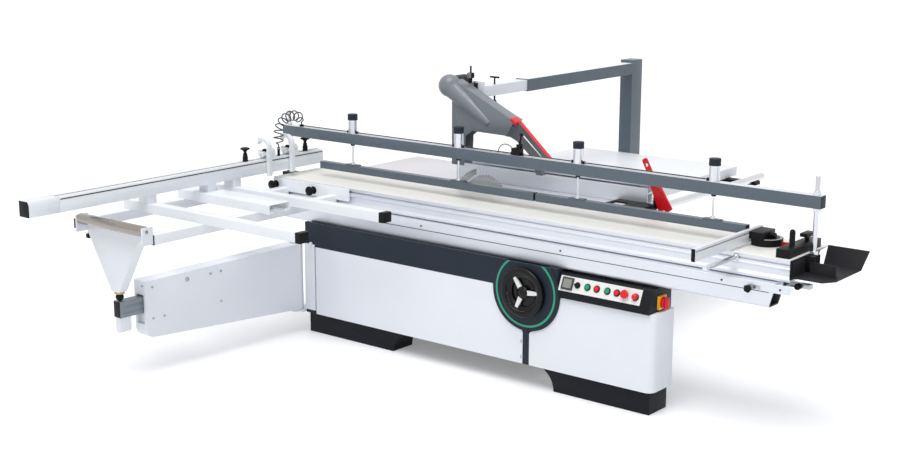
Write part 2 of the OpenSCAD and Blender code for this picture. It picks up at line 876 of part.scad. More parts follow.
// Table bracket whose curved tongue carries one end of the tilt cradle
module hanger(x, inner_x) {
  difference() {
    block(x, [table_y0 + 4, hanger_y1], [table_z - trunnion_r - 45, table_z0]);
    rod_x([x[0] - eps, x[1] + eps], hanger_y1, table_z - trunnion_r - 45, hanger_round);
  }
  tilt_sector(inner_x, span(trunnion_r, tongue_w), tongue_a);
}

module main_table() {
  out0 = cradle_x[0] - hanger_gap;
  out1 = cradle_x[1] + hanger_gap;
  color(iron) difference() {
    block([main_x0, main_x1], [table_y0, table_y1], [table_z0, table_z]);
    block(insert_x, [table_y0 - eps, table_y0 + insert_w], [table_z0 - eps, table_z + eps]);
    block([insert_x[0] - rebate, insert_x[1] + rebate], [table_y0 - eps, table_y0 + insert_w + rebate],
      [table_z - insert_t, table_z + eps]);
    for (i = [0:4]) for (k = [0:1])
      block([main_x0 + 14 + i * main_l / 5, main_x0 + (i + 1) * main_l / 5 - 10],
        [table_y0 + insert_w + 34 + k * (main_w - insert_w - 48) / 2,
         table_y0 + insert_w + 22 + (k + 1) * (main_w - insert_w - 48) / 2],
        [table_z0 - eps, table_z - 15]);
  }
  color(iron) {
    hanger([out0 - hanger_t, out0], [out0 - eps, out0 + hanger_gap + cradle_t]);
    hanger([out1, out1 + hanger_t], [out1 - hanger_gap - cradle_t, out1 + eps]);
  }
}

module table_insert() {
  color(iron) difference() {
    block([insert_x[0] - rebate, insert_x[1] + rebate], [table_y0, table_y0 + insert_w + rebate],
      [table_z - insert_t, table_z]);
    for (x = insert_x) rod_z(x, table_y0 + insert_w, [table_z - insert_t - eps, table_z + eps], 7);
  }
}

module rear_table() {
  color(iron) difference() {
    block([rear_x0, rear_x1], [table_y0, table_y1], [table_z0, table_z]);
    for (i = [0:2]) block([rear_x0 + 12 + i * rear_l / 3, rear_x0 + (i + 1) * rear_l / 3 - 12],
      [table_y0 + 14, table_y1 - 14], [table_z0 - eps, table_z - 14]);
  }
}

module side_table() {
  leg_y = side_y1 - 90;
  stay_z = 120;
  side_top = 5;
  color(white) {
    difference() {
      block([side_x0, side_x1], [side_y0, side_y1], [side_z0, table_z]);
      block([side_x0 + 5, side_x1 - 5], [side_y0 + 5, side_y1 - 5], [side_z0 - eps, table_z - side_top]);
    }
    for (x = stay_x) {
      tube_y([x, x + stay_w], [side_y0 + 4, side_y1 - 4], [side_z0, table_z - side_top], 3);
      run_x([x, x + stay_w]) polygon([[body_y1, stay_z], [body_y1, stay_z + 60], [leg_y, side_z0],
        [leg_y + 60, side_z0], [body_y1 + 30, stay_z]]);
    }
  }
}

// Rail: flange with the ways, thin front plate and an open hollow box below
module fixed_rail() {
  box_x1 = rail_x1 - 86;
  box_y = [rail_y0 + 3, rail_y0 + rail_box_d];
  lean = 20;
  round = 20;
  end_round = 16;
  color(white) {
    difference() {
      run_x([rail_x0, box_x1]) difference() {
        union() {
          rect([box_y[0] + round, box_y[1]], [rail_z0, rail_mid]);
          rect(box_y, [rail_z0 + round, rail_mid]);
          translate([box_y[0] + round, rail_z0 + round]) circle(r = round);
        }
        rect([box_y[0] + rail_wall + 2, box_y[1] - rail_wall], [rail_z0 + rail_wall + 2, rail_mid + eps]);
      }
      run_y([box_y[0] - eps, box_y[1] + eps])
        polygon([[box_x1 - lean, rail_z0 - eps], [box_x1 + eps, rail_z0 - eps], [box_x1 + eps, rail_mid]]);
    }
    difference() {
      block([rail_x0, box_x1], [rail_y0, rail_y1], [rail_mid, rail_top]);
      block([rail_x0 - eps, box_x1 + eps], [way_y[1] + 20, rail_y1 - 10], [rail_mid + 8, rail_top - 8]);
      block([rail_x0 - eps, box_x1 + eps], [way_y[0] + 18, way_y[1] - 18], [rail_mid + 8, rail_top - 8]);
    }
    run_y([rail_y0, rail_y0 + rail_wall]) {
      rect([box_x1 - eps, rail_x1 - end_round], [rail_mid, rail_top]);
      rect([box_x1 - eps, rail_x1], [rail_mid + end_round, rail_top]);
      translate([rail_x1 - end_round, rail_mid + end_round]) circle(r = end_round);
    }
  }
  color(steel) for (y = way_y) rod_x([rail_x0, box_x1], y, way_z, way_d);
}

// Arm under the rip fence bar
module bar_bracket(y, top) {
  block([bracket_x0, bar_x + 18], span(y, bracket_w), [top - 18, top]);
  block(span(bar_x, 32), span(y, bracket_w), [top - 18, bar_z - bar_d / 2 + 3]);
}

module fence_bar() {
  color(chrome) rod_y(bar_x, bar_y, bar_z, bar_d);
  color(black) {
    bar_bracket(bracket_y[1], side_z0);
    bar_bracket(bracket_y[0], table_z0 - 10);
    block([bracket_x0, main_x1 - 20], span(bracket_y[0], bracket_w), [table_z0 - 11, table_z0]);
  }
}

module guard_gantry() {
  color(blue_grey) {
    difference() {
      block([post_x0, post_x1], [post_y0, post_y0 + post_d], [side_z0 - post_foot, post_top]);
      block([post_x0 + arm_wall, post_x1 - arm_wall], [post_y0 + arm_wall, post_y0 + post_d - arm_wall],
        [side_z0 - post_foot - eps, post_top - arm_wall]);
    }
    tube_y([post_x0, post_x1], [arm_y0, post_y0 + eps], [arm_z0, arm_z1], arm_wall);
    block([post_x0 - 40, post_x1 + 40], [post_y0 - 8, post_y0 + eps], [side_z0 - post_foot, side_z0]);
  }
}

module arm_hinge() {
  lug_low = [swing_z0 - lug_gap - lug_t, swing_z0 - lug_gap];
  lug_high = [swing_top + lug_gap, swing_top + lug_gap + lug_t];
  color(white) {
    block([cabinet_x0 - 12, cabinet_x0], [cab_y0 + 6, cab_y0 + 96], [lug_low[0], lug_high[1] + 40]);
    block([cabinet_x0 + 6, left_panel_x0 - 3], [cab_y0 - hinge_t, cab_y0], [swing_z0, swing_top]);
    for (z = [lug_low, lug_high]) {
      rod_z(swing_x, swing_y, z, 60);
      block([swing_x - 20, cabinet_x0], [swing_y, cab_y0 + 60], z);
    }
  }
  color(steel) rod_z(swing_x, swing_y, [lug_low[0] - 4, lug_high[1] + 6], swing_pin_d);
  color(black) rod_z(cabinet_x0 + 52, cab_y0 - hinge_t, [swing_top - eps, swing_top + 12], 18);
}

// Sliding carriage and what rides on it

module carriage() {
  slope_y = car_y1 - lip_w - (carriage_h - lip_t);
  floor_t = 24;
  color(white) run_x([-car_x, car_x]) difference() {
    polygon([[car_y0, car_z0], [car_y0, table_z], [car_y1, table_z], [car_y1, table_z - lip_t],
      [car_y1 - lip_w, table_z - lip_t], [slope_y, car_z0]]);
    rect([car_y0 + slot_d + carriage_wall, car_y0 + 120], [car_z0 + floor_t, table_z - carriage_wall]);
    rect([car_y0 + 120 + carriage_wall, slope_y + floor_t - 2 * carriage_wall],
      [car_z0 + floor_t, table_z - carriage_wall]);
    polygon([[car_y0 - eps, slot_z - band_h / 2 - 5], [car_y0 + front_dip, slot_z - band_h / 2 - 5 - front_dip],
      [car_y0 + front_dip, car_z0 + 24], [car_y0 - eps, car_z0 + 10]]);
    rect([car_y0 - eps, car_y0 + band_dip], span(slot_z, band_h));
    rect([car_y0 - eps, car_y0 + slot_d], span(slot_z, slot_w));
    rect([car_y0 + slot_d - 6, car_y0 + slot_d], [slot_z - slot_w, slot_z + slot_w]);
    for (y = way_y) translate([y, way_z]) circle(d = way_d + 2 * slide_gap);
  }
}

module end_plates() {
  y1 = car_y1 - lip_w - carriage_h - 6;
  tab_w = 84;
  color(black) {
    for (x = [[-car_x - end_plate_t, -car_x], [car_x, car_x + end_plate_t]])
      block(x, [car_y0, y1], [car_z0 + 12, table_z - 2]);
    difference() {
      for (x = [[post_left_x - 24, -car_x - end_plate_t], [car_x + end_plate_t, post_right_x + 22]])
        block(x, [beam_y - tab_w / 2, beam_y + tab_w / 2 - 20], [table_z - 60, table_z - 2]);
      for (x = [post_left_x, post_right_x]) rod_z(x, beam_y, [table_z - 61, table_z], clamp_post_d);
    }
  }
}

module clamp_posts() {
  nut_d = clamp_post_d * 1.8;
  color(chrome) for (x = [post_left_x, post_right_x]) {
    rod_z(x, beam_y, [table_z - 60, table_z + clamp_post_h], clamp_post_d);
    for (z = [table_z - 2, beam_z - 16, beam_top])
      translate([x, beam_y, z]) cylinder(h = 16, d = nut_d, $fn = 6);
  }
}

module clamp_beam() {
  color(blue_grey) difference() {
    block([beam_x0, beam_x1], span(beam_y, beam_w), [beam_z, beam_top]);
    block([beam_x0 + 4, beam_x1 - 4],
      [beam_y - beam_w / 2 + beam_wall, beam_y + beam_w / 2 - beam_wall],
      [beam_z + beam_wall, beam_top - beam_wall]);
    for (x = [post_left_x, post_right_x]) rod_z(x, beam_y, [beam_z - eps, beam_top + eps], clamp_post_d);
    for (x = cylinder_x) rod_z(x, beam_y, [beam_z - eps, beam_top + eps], rod_d + 8);
  }
}

module clamp_cylinders() {
  bore_d = cylinder_d - 8;
  color(chrome) for (x = cylinder_x) difference() {
    rod_z(x, beam_y, [beam_top, beam_top + cylinder_h], cylinder_d);
    rod_z(x, beam_y, [beam_top - eps, beam_top + cylinder_h - 6], bore_d);
  }
  color(black) for (x = cylinder_x)
    rod_z(x, beam_y, [beam_top + cylinder_h, beam_top + cylinder_h + cap_h], cylinder_d + 6);
  color(black) {
    block([valve_x - 26, valve_x + 26], [beam_y - 18, beam_y + 18], [beam_top, beam_top + 36]);
    for (y = [beam_y - 15, beam_y + 9])
      block([valve_x + 4, valve_x + 22], [y, y + 6], [beam_top + 35, valve_lever_z - 4]);
    rod_y(valve_x + 13, [beam_y - 15, beam_y + 15], valve_lever_z - 14, 8);
  }
}

module valve_lever() {
  z = valve_lever_z - 14;
  color(black) {
    difference() {
      union() {
        rod_y(valve_x + 13, [beam_y - 8, beam_y + 8], z, 17);
        translate([valve_x + 13, beam_y, z + 4]) rotate([0, 12, 0]) cylinder(h = 52, d1 = 13, d2 = 9);
      }
      rod_y(valve_x + 13, [beam_y - 9, beam_y + 9], z, 8 + 2 * run_gap);
    }
    translate([valve_x + 13, beam_y, z + 4]) rotate([0, 12, 0]) translate([0, 0, 56]) sphere(d = 20);
  }
}

// Middle line of the air hose in (Y, Z): up from the beam, over an arch, straight down
function arch_point(t) = pow(1 - t, 3) * [beam_y, hose_z0 + hose_d]
  + 3 * t * pow(1 - t, 2) * [beam_y, hose_z0 + arch_lift]
  + 3 * t * t * (1 - t) * [hose_end_y, hose_z0 + arch_reach]
  + t * t * t * [hose_end_y, hose_z0 - arch_fall];
arch_steps = 40;
hose_line = concat([[beam_y, hose_z0]], [for (i = [0:arch_steps]) arch_point(i / arch_steps)],
  [[hose_end_y, hose_z1]]);
function run_length(i) = i == 0 ? 0 : run_length(i - 1) + norm(hose_line[i] - hose_line[i - 1]);
hose_runs = [for (i = [0:len(hose_line) - 1]) run_length(i)];
hose_len = hose_runs[len(hose_runs) - 1];
hose_y_at = [for (i = [0:len(hose_line) - 1]) [hose_runs[i], hose_line[i][0]]];
hose_z_at = [for (i = [0:len(hose_line) - 1]) [hose_runs[i], hose_line[i][1]]];
function hose_mid(s) = [lookup(s, hose_y_at), lookup(s, hose_z_at)];
function unit(v) = v / norm(v);
function hose_dir(s) = unit(hose_mid(s + 4) - hose_mid(s - 4));
// The curls swell from nothing at each end over most of one curl
curl_pad = 1.4 * hose_d;
curl_len = hose_len - 2 * curl_pad;
curl_steps = 8;
function swell(u) = min(1, min(u, curls - u) / 0.85);
function curl_point(u) =
  let (s = curl_pad + curl_len * u / curls, m = hose_mid(s), t = hose_dir(s), r = curl_r * swell(u))
  [hose_x + r * sin(360 * u), m[0] - t[1] * r * cos(360 * u), m[1] + t[0] * r * cos(360 * u)];
hose_path = concat(
  [[hose_x, beam_y, hose_z0], [hose_x, beam_y, hose_z0 + hose_d]],
  [for (i = [0:curls * curl_steps]) curl_point(i / curl_steps)],
  [[hose_x, hose_end_y, hose_z1 + hose_d], [hose_x, hose_end_y, hose_z1]]);

// Tube swept along a path, with its end rings square to the Z axis
sides = 6;
last = len(hose_path) - 1;
function path_dir(i) = i <= 1 ? [0, 0, 1] : i >= last - 1 ? [0, 0, -1] :
  unit(hose_path[i + 1] - hose_path[i - 1]);
function carry(v, t) = unit(v - (v * t) * t);
function frames(i, v) = i > last ? [] :
  let (w = carry(v, path_dir(i))) concat([w], frames(i + 1, w));
hose_normals = frames(0, [1, 0, 0]);
hose_points = [for (i = [0:last]) for (k = [0:sides - 1])
  let (n = hose_normals[i], b = cross(path_dir(i), n), a = 360 * k / sides)
  hose_path[i] + hose_d / 2 * (cos(a) * n + sin(a) * b)];
hose_faces = concat(
  [for (k = [1:sides - 2]) [0, k, k + 1]],
  [for (k = [1:sides - 2]) [last * sides, last * sides + k + 1, last * sides + k]],
  [for (i = [0:last - 1]) for (k = [0:sides - 1])
    [i * sides + k, (i + 1) * sides + k, i * sides + (k + 1) % sides]],
  [for (i = [0:last - 1]) for (k = [0:sides - 1])
    [i * sides + (k + 1) % sides, (i + 1) * sides + k, (i + 1) * sides + (k + 1) % sides]]);
// Least gap between stretches of the hose that are half a curl or more apart
self_gap = min([for (i = [0:last]) for (j = [i + curl_steps / 2:last])
  norm(hose_path[i] - hose_path[j])]) - hose_d;
echo(hose_self_gap = self_gap);

module air_hose() {
  clear = cylinder_d / 2 + 0.3;
  stops = [hose_x + 8, cylinder_x[0], cylinder_x[1], valve_x, cylinder_x[2], cylinder_x[3]];
  halves = [0, clear, clear, 26.3, clear, clear];
  color(black) {
    polyhedron(hose_points, hose_faces);
    rod_z(hose_x, hose_end_y, [fence_z1, hose_z1], 16);
    block([hose_x - 9, hose_x + 9], [beam_y - 9, beam_y + 9], [beam_top, hose_z0]);
    for (i = [0:4]) {
      from = stops[i] + halves[i];
      to = stops[i + 1] - halves[i + 1];
      rod_x([from, to], beam_y, beam_top + 6, 6);
      block([to - 14, to], [beam_y - 6, beam_y + 6], [beam_top, beam_top + 13]);
      if (i > 0) block([from, from + 14], [beam_y - 6, beam_y + 6], [beam_top, beam_top + 13]);
    }
  }
}

// Crosscut frame

module frame_tubes() {
  cap_x = frame_tube_x1;
  color(white) {
    for (y = [tube_a_y, tube_b_y])
      tube_x([frame_x0, cap_x], [y, y + tube_w], [low_z1, table_z], tube_wall);
    difference() {
      block([frame_x0, channel_x1], [channel_y, channel_y + channel_w], [low_z1, table_z]);
      block([frame_x0 - eps, channel_x1 + eps],
        [channel_y + tube_wall, channel_y + channel_w - tube_wall], [low_z1 + 12, table_z - tube_wall]);
      block([frame_x0 - eps, channel_x1 + eps],
        [channel_y + 30, channel_y + channel_w - 30], [low_z1 - eps, low_z1 + 13]);
    }
    tube_y([cross_x[0], cross_x[0] + tube_w], [frame_y_out, tube_b_y + tube_w], [low_z0, low_z1], tube_wall);
    tube_y([cross_x[1], cross_x[1] + tube_w], [frame_y_out, car_y0 - mount_t], [low_z0, low_z1], tube_wall);
    tube_y([mount_tube_x, mount_tube_x + tube_w], [tube_b_y, car_y0 - mount_t], [low_z0, low_z1], tube_wall);
    tube_x([cross_x[0] + tube_w, cross_x[1]], [frame_y_out, frame_y_out + 50], [low_z0, low_z1], tube_wall);
    difference() {
      block(mount_x, [car_y0 - mount_t, car_y0], [low_z0 + 26, table_z - 5]);
      block([mount_x[0] - eps, mount_x[1] + eps], [car_y0 - 3, car_y0 + eps],
        span(slot_z, slot_w));
    }
  }
}

module frame_knobs() {
  color(black) {
    for (y = [tube_a_y, tube_b_y])
      block([frame_tube_x1, frame_tube_x1 + frame_cap_l], [y - 1, y + tube_w + 1], [low_z1 - 1, table_z + 1]);
    for (x = mount_knob_x)
      translate([x, car_y0 - mount_t, mount_knob_z]) rotate([90, 0, 0]) knob(46, 48);
    for (x = cross_x) {
      block([x, x + tube_w], [frame_y_out - tube_cap_t, frame_y_out], [low_z0, low_z1]);
    }
    translate([cross_x[0] + tube_w + 26, frame_y_out + 25, low_z0]) rotate([180, 0, 0]) knob(44, 40);
    translate([cross_x[1] + tube_w / 2 - 8, frame_y_out - tube_cap_t + 1, low_z0 + tube_h / 2])
      rotate([90, 0, 0]) knob(32, 34);
    for (y = knob_y) translate([stop_axis_x, y, fence_z1]) {
      cylinder(h = 40, d = 30);
      translate([0, 0, 38]) knob(42, 54);
    }
  }
}

module support_bracket() {
  top_w = 400;
  tip_w = 58;
  tip_z = ball_z + ball_d / 2 + 8;
  y = [ball_y - 25, ball_y + 25];
  plate = 4;
  color(white) {
    difference() {
      run_y(y) polygon([[ball_x - top_w / 2, low_z0], [ball_x + top_w / 2, low_z0],
        [ball_x + tip_w / 2, tip_z], [ball_x - tip_w / 2, tip_z]]);
      run_y([y[0] + plate, y[1] + eps]) polygon([[ball_x - top_w / 2 + 8, low_z0 - plate],
        [ball_x + top_w / 2 - 8, low_z0 - plate], [ball_x + tip_w / 2 - 5, tip_z + 30],
        [ball_x - tip_w / 2 + 5, tip_z + 30]]);
    }
    for (p = [[roller_x0 - 2 - roller_plate_t, frame_y_out], [roller_x1 + 2, frame_y_out - tube_cap_t]])
      difference() {
        block([p[0], p[0] + roller_plate_t], [roller_y - 26, p[1]], [low_z0 + 6, table_z - 6]);
        rod_x([p[0] - eps, p[0] + roller_plate_t + eps], roller_y, roller_z,
          roller_axle_d + 2 * run_gap);
      }
  }
  color([0.75, 0.62, 0.42]) rod_z(ball_x, ball_y, [ball_z + ball_d / 2 - 4, tip_z], tip_w - 6);
  color(black) translate([ball_x, ball_y, ball_z]) sphere(d = ball_d);
}

module load_roller() {
  color(chrome) {
    rod_x([roller_x0, roller_x1], roller_y, roller_z, roller_d);
    rod_x([roller_x0 - 2 - roller_plate_t - 4, roller_x1 + 2 + roller_plate_t + 4],
      roller_y, roller_z, roller_axle_d);
  }
}

// Crosscut fence section in (X, Z) with a chamfered upper front edge
module fence_section() {
  chamfer = 10;
  polygon([[fence_x0, fence_z0], [fence_x, fence_z0], [fence_x, fence_z1 - 2 * chamfer],
    [fence_x - chamfer, fence_z1], [fence_x0, fence_z1]]);
}
fence_in_x = [fence_x0 + fence_wall, fence_x - fence_wall];
fence_in_z = [fence_z0 + fence_wall, fence_z1 - 26];

module cross_fence() {
  color(white) {
    run_y([fence_y0, fence_y1]) difference() {
      fence_section();
      rect(fence_in_x, fence_in_z);
      rect([stop_axis_x - 5, stop_axis_x + 5], [fence_z1 - 8, fence_z1 + eps]);
    }
    for (y = [tube_a_y, channel_y + channel_w / 2 - tube_w / 2, tube_b_y])
      block([fence_x0 + 5, fence_x - 5], [y, y + tube_w], [table_z, fence_z0]);
  }
  color(white) for (y = stop_y) {
    block([fence_x0 + 4, fence_x - 12], [y + stop_t / 2 + 2, y + stop_t / 2 + 66], [fence_z1, fence_z1 + 18]);
    rod_y(stop_axis_x, [y + stop_t / 2 + 2, y + stop_t / 2 + 66], stop_z, 44);
    rod_y(stop_axis_x, [y - stop_t / 2 - 6, y + stop_t / 2 + 3], stop_z, stop_pin_d);
  }
}

module fence_extension() {
  color(white) {
    run_y([fence_y0 - extension_l, fence_y0 - 1]) fence_section();
    block([fence_in_x[0] + slide_gap, fence_in_x[1] - slide_gap],
      [fence_y0 - 2, fence_y0 + tongue_l], [fence_in_z[0] + slide_gap, fence_in_z[1] - slide_gap]);
  }
  color(black) run_y([fence_y0 - extension_l - 8, fence_y0 - extension_l + eps]) fence_section();
}

// Flip stop: a D-shaped flag over the working face of the fence
module flip_stop(y) {
  back = stop_axis_x - 26;
  front = fence_x + 24;
  top = stop_z + 88;
  low = fence_z0 - 16;
  r = (front - back) * 0.62;
  color(white) difference() {
    run_y(span(y, stop_t)) difference() {
      union() {
        rect([back, front - r], [stop_z - 4, top]);
        rect([back, front], [stop_z - 4, top - r]);
        translate([stop_axis_x, stop_z]) circle(r = 24);
        intersection() {
          translate([front - r, top - r]) circle(r = r);
          rect([front - r - eps, front], [top - r - eps, top]);
        }
        rect([fence_x + 2, front], [low + 9, stop_z]);
        rect([fence_x + 2, front - 9], [low, stop_z]);
        translate([front - 9, low + 9]) circle(r = 9);
      }
      rect([back + 17, front - 17], [stop_z + 22, top - r * 0.62]);
      translate([front - r, top - r]) circle(r = r - 18);
    }
    rod_y(stop_axis_x, [y - stop_t, y + stop_t], stop_z, stop_pin_d + 2 * run_gap);
  }
}
module flip_stop_outer() { flip_stop(stop_y[0]); }
module flip_stop_inner() { flip_stop(stop_y[1]); }

// Parts at the operator's end of the carriage

module mitre_fence() {
  x = span(mitre_x, mitre_t);
  z = [mitre_z0, mitre_z0 + mitre_h];
  color(white) run_y([mitre_y0, mitre_y0 + mitre_l]) difference() {
    rect(x, z);
    rect([x[0] + 4, x[1] - 4], [z[0] + 4, z[0] + mitre_h / 2 - 3]);
    rect([x[0] + 4, x[1] - 4], [z[0] + mitre_h / 2 + 3, z[1] - 4]);
    rect([x[1] - 5, x[1] + eps], [z[0] + mitre_h * 0.72, z[0] + mitre_h * 0.8]);
  }
  color(black) {
    block(x, [mitre_y0 - 6, mitre_y0 + eps], z);
    block([x[1], x[1] + 66], [mitre_pivot_y - 80, mitre_pivot_y + 50], [mitre_z0 + 18, z[1] - 6]);
    difference() {
      rod_z(mitre_x + 60, mitre_pivot_y, [table_z + 0.3, mitre_z0 + 19], 150);
      block([mitre_x - 40, x[1] - eps], [mitre_pivot_y - 90, mitre_pivot_y + 90], [table_z, table_z + 60]);
    }
    rod_x([x[1] + 60, x[1] + 92], mitre_pivot_y + 4, z[1] - 28, 26);
  }
}

module push_handle() {
  handle_d = 22;
  handle_l = 285;
  color(chrome) {
    rod_y(mitre_x + 27, [car_y0 - handle_l, car_y0 - 8], slot_z, handle_d);
    rod_y(mitre_x + 27, [car_y0 - 9, car_y0 + band_dip], slot_z, handle_d + 8);
  }
}

module edge_shoe() {
  x = [car_x - 80, car_x - 15];
  y = [car_y0 + 20, car_y0 + 340];
  z = [table_z, table_z + 40];
  color(black) {
    difference() {
      block(x, y, z);
      rod_z(post_right_x, beam_y, [table_z - eps, table_z + 60], 60);
    }
    rod_z(x[0] + 28, car_y0 + 118, [z[1] - eps, z[1] + 62], 26);
    translate([x[0] + 28, car_y0 + 118, z[1] + 61]) sphere(d = 26);
    translate([x[0] + 32, car_y0 + 262, z[1] - eps]) cylinder(h = 22, d = 20);
    block([x[0] + 14, x[1] - 15], [car_y0 + 222, car_y0 + 302], [z[1] + 20, z[1] + 36]);
  }
}

module end_guard() {
  x = [car_x + end_plate_t, car_x + 188];
  y = [car_y0 + 8, car_y0 + 330];
  z = table_z - 80;
  t = 4;
  wall_x1 = car_x + 206;
  y_top = car_y0 + 372;
  color(black) {
    difference() {
      block(x, y, [z, z + t]);
      run_z([z - eps, z + t + eps]) polygon([[x[1] + eps, y[0] - eps], [x[1] + eps, y[0] + 60], [x[1] - 40, y[0] - eps]]);
    }
    difference() {
      run_x([x[0], wall_x1]) polygon([[y[1] - t, z], [y[1], z], [y_top, table_z + 6], [y_top - t, table_z + 6]]);
      run_y([y[0], y_top + eps]) polygon([[x[1], z - eps], [wall_x1 + eps, z - eps], [wall_x1 + eps, table_z + 6]]);
    }
    block([x[0] + 30, x[1] - 18], [car_y0 + 120, car_y0 + 120 + t], [z, table_z - 22]);
    block([x[1] - 22, x[1] - 18], [car_y0 + 100, car_y0 + 120 + t], [z, table_z - 30]);
    block([x[0], x[0] + t], [car_y0 + 8, car_y0 + 130], [z, table_z - 10]);
  }
}

// Hold-down pads with the rods and pistons that lift them
module clamp_pads() {
  color(blue_grey) for (x = [pad_left_x, pad_right_x])
    tube_x(x, span(beam_y, pad_w), [pad_z0, pad_z1], 4);
  color(steel) for (x = cylinder_x) {
    rod_z(x, beam_y, [pad_z1, piston_z + 1], rod_d);
    rod_z(x, beam_y, [piston_z, piston_z + 12], cylinder_d - 8 - 2 * slide_gap);
    block([x - 45, x + 45], [beam_y - 16, beam_y + 16], [pad_z1 - eps, pad_z1 + 6]);
    rod_z(x, beam_y, [pad_z1 + 5, pad_z1 + 16], 24);
  }
}

// Swing arm and telescopic tube

module swing_outline(inset) {
  r = 46 - inset;
  polygon(concat(
    [[0, swing_z0 + inset], [0, swing_top - inset], [-(swing_l - inset), swing_top - swing_fall - inset]],
    arc([-(swing_l - 46), swing_end_z0 + 46], r, 180, 266, 8)));
}

module swing_arm() {
  w = swing_w / 2;
  guide_y = [-(swing_l - swing_wall), -(swing_l - 60)];
  color(white) at_swing() difference() {
    union() {
      difference() {
        run_x([-w, w]) swing_outline(0);
        intersection() {
          run_x([-w + swing_wall, w - swing_wall]) swing_outline(swing_wall);
          block([-w, w], [-swing_l, -w - 14], [0, swing_top]);
        }
        block([-w - eps, w + eps], [-w * 0.4, w], [0, swing_top + eps]);
      }
      rod_z(0, 0, [swing_z0, swing_top], swing_w - 6);
      block([-w + 6, w - 6], [-w, 0], [swing_z0 + 12, swing_top]);
      block([-w + swing_wall - eps, w - swing_wall + eps], [guide_y[0] - eps, guide_y[1]],
        [scope_z0 - 80, scope_z0 - slide_gap]);
      block([-w + swing_wall - eps, w - swing_wall + eps], [guide_y[0] - eps, guide_y[1]],
        [scope_z1 + slide_gap, scope_z1 + 24]);
    }
    rod_z(0, 0, [swing_z0 - eps, swing_top + eps], swing_pin_d + 2 * run_gap);
    block([-scope_w / 2 - 3, scope_w / 2 + 3], [-swing_l - eps, -swing_l + 18],
      [scope_z0 - 62, scope_z1 + 10]);
  }
}

module telescopic_tube() {
  w = scope_w / 2;
  shoe_h = 82;
  shoe_l = 68;
  color(steel) at_swing() difference() {
    tube_y([-w, w], [scope_y0 + 12, scope_y1], [scope_z0, scope_z1], 4);
    for (z = [scope_z0 + scope_h * 0.3, scope_z0 + scope_h * 0.7]) for (side = [-1, 1])
      block([side * w - 1, side * w + 1], [scope_y0 + 11, scope_y1 + 1], [z - 3, z + 3]);
  }
  color(black) at_swing() block([-w, w], [scope_y0, scope_y0 + 13], [scope_z0, scope_z1]);
  color(white) at_swing() {
    block([-w + 6, w - 6], [scope_y0 + 4, scope_y0 + shoe_l], [scope_z0 - shoe_h + 20, scope_z0]);
    rod_y(0, [scope_y0 + 4, scope_y0 + shoe_l], scope_z0 - shoe_h + 21, scope_w - 12);
  }
}

// Rip fence

// Low casting on the bar: saddle, flat plate, stick holder and clamp lever
module rip_casting() {
  holder_w = 26;
  color(black) difference() {
    union() {
      block([bar_x - 36, casting_x[1]], casting_y, [bar_z, casting_top]);
      block(casting_x, [casting_y[0] + 40, casting_y[1]], [table_z + 4, casting_top]);
      block(span(peg_x, holder_w), [casting_y[1] - 16, casting_y[1] - 6],
        [casting_top - 20, peg_z + 14]);
      rod_y(peg_x, [stick_y[0] - 5, casting_y[1] - 10], peg_z, peg_d);
      rod_z(casting_x[1] - 24, casting_y[0] + 50, [bar_z - 40, bar_z + eps], 12);
      translate([casting_x[1] - 24, casting_y[0] + 50, bar_z - 46]) sphere(d = 30);
    }
    rod_y(bar_x, [casting_y[0] - eps, casting_y[1] + eps], bar_z, bar_d + 2 * slide_gap);
    block([casting_x[0] + 24, bar_x - 60], [casting_y[0] + 64, casting_y[1] - 60], [table_z, casting_top + eps]);
  }
}

module rip_fence() {
  wall = 5;
  z0 = table_z + 1;
  color(white) run_y_fence(z0, wall);
}

// Hollow section of the rip fence in (Y, Z) with a clamp slot
module run_y_fence(z0, wall) {
  run_x([rip_x0, rip_x1]) difference() {
    rect([rip_y, rip_y + rip_t], [z0, table_z + rip_h]);
    rect([rip_y + wall, rip_y + rip_t - wall], [z0 + wall, z0 + rip_h / 2 - wall]);
    rect([rip_y + wall, rip_y + rip_t - wall], [z0 + rip_h / 2, table_z + rip_h - wall]);
    rect([rip_y - eps, rip_y + wall + eps], [z0 + rip_h * 0.72, z0 + rip_h * 0.8]);
  }
}

// Push stick with a notched nose, hung on a peg
module push_stick() {
  color(red) run_y(stick_y) difference() {
    translate(stick_top) rotate(stick_a) polygon([[0, -9], [7, -15], [96, -15], [122, -27], [170, -29],
      [286, -40], [298, -32], [282, -10], [304, 6], [298, 40], [170, 29], [112, 16], [7, 15], [0, 9]]);
    translate(stick_top) rotate(stick_a) translate([stick_hang, 0]) circle(d = peg_d + 2 * slide_gap);
    translate(stick_top) rotate(stick_a) translate([36, 0]) circle(d = 18);
  }
}

// Overhead guard

module arm_slider() {
  x = [post_x0 + arm_wall + slide_gap, post_x1 - arm_wall - slide_gap];
  z = [arm_z0 + arm_wall + slide_gap, arm_z1 - arm_wall - slide_gap];
  screw_x = x[1] - 18;
  screw_y = slider_y0 + 110;
  color(white) {
    tube_y(x, [slider_y0, arm_y0 + slider_in - 110], z, 5);
    block([x[0], x[1]], [slider_y0 - 8, slider_y0 + eps], [arm_z0 - 20, arm_z1 + 20]);
  }
  color(black) {
    translate([screw_x, screw_y, z[0] - 42]) {
      cylinder(h = 16, d1 = 30, d2 = 16);
      cylinder(h = 43, d = 10);
    }
    rod_z(screw_x, screw_y, [z[1] - 1, z[1] + 40], 9);
    rod_x([screw_x - 30, screw_x + 30], screw_y, z[1] + 40, 10);
  }
}

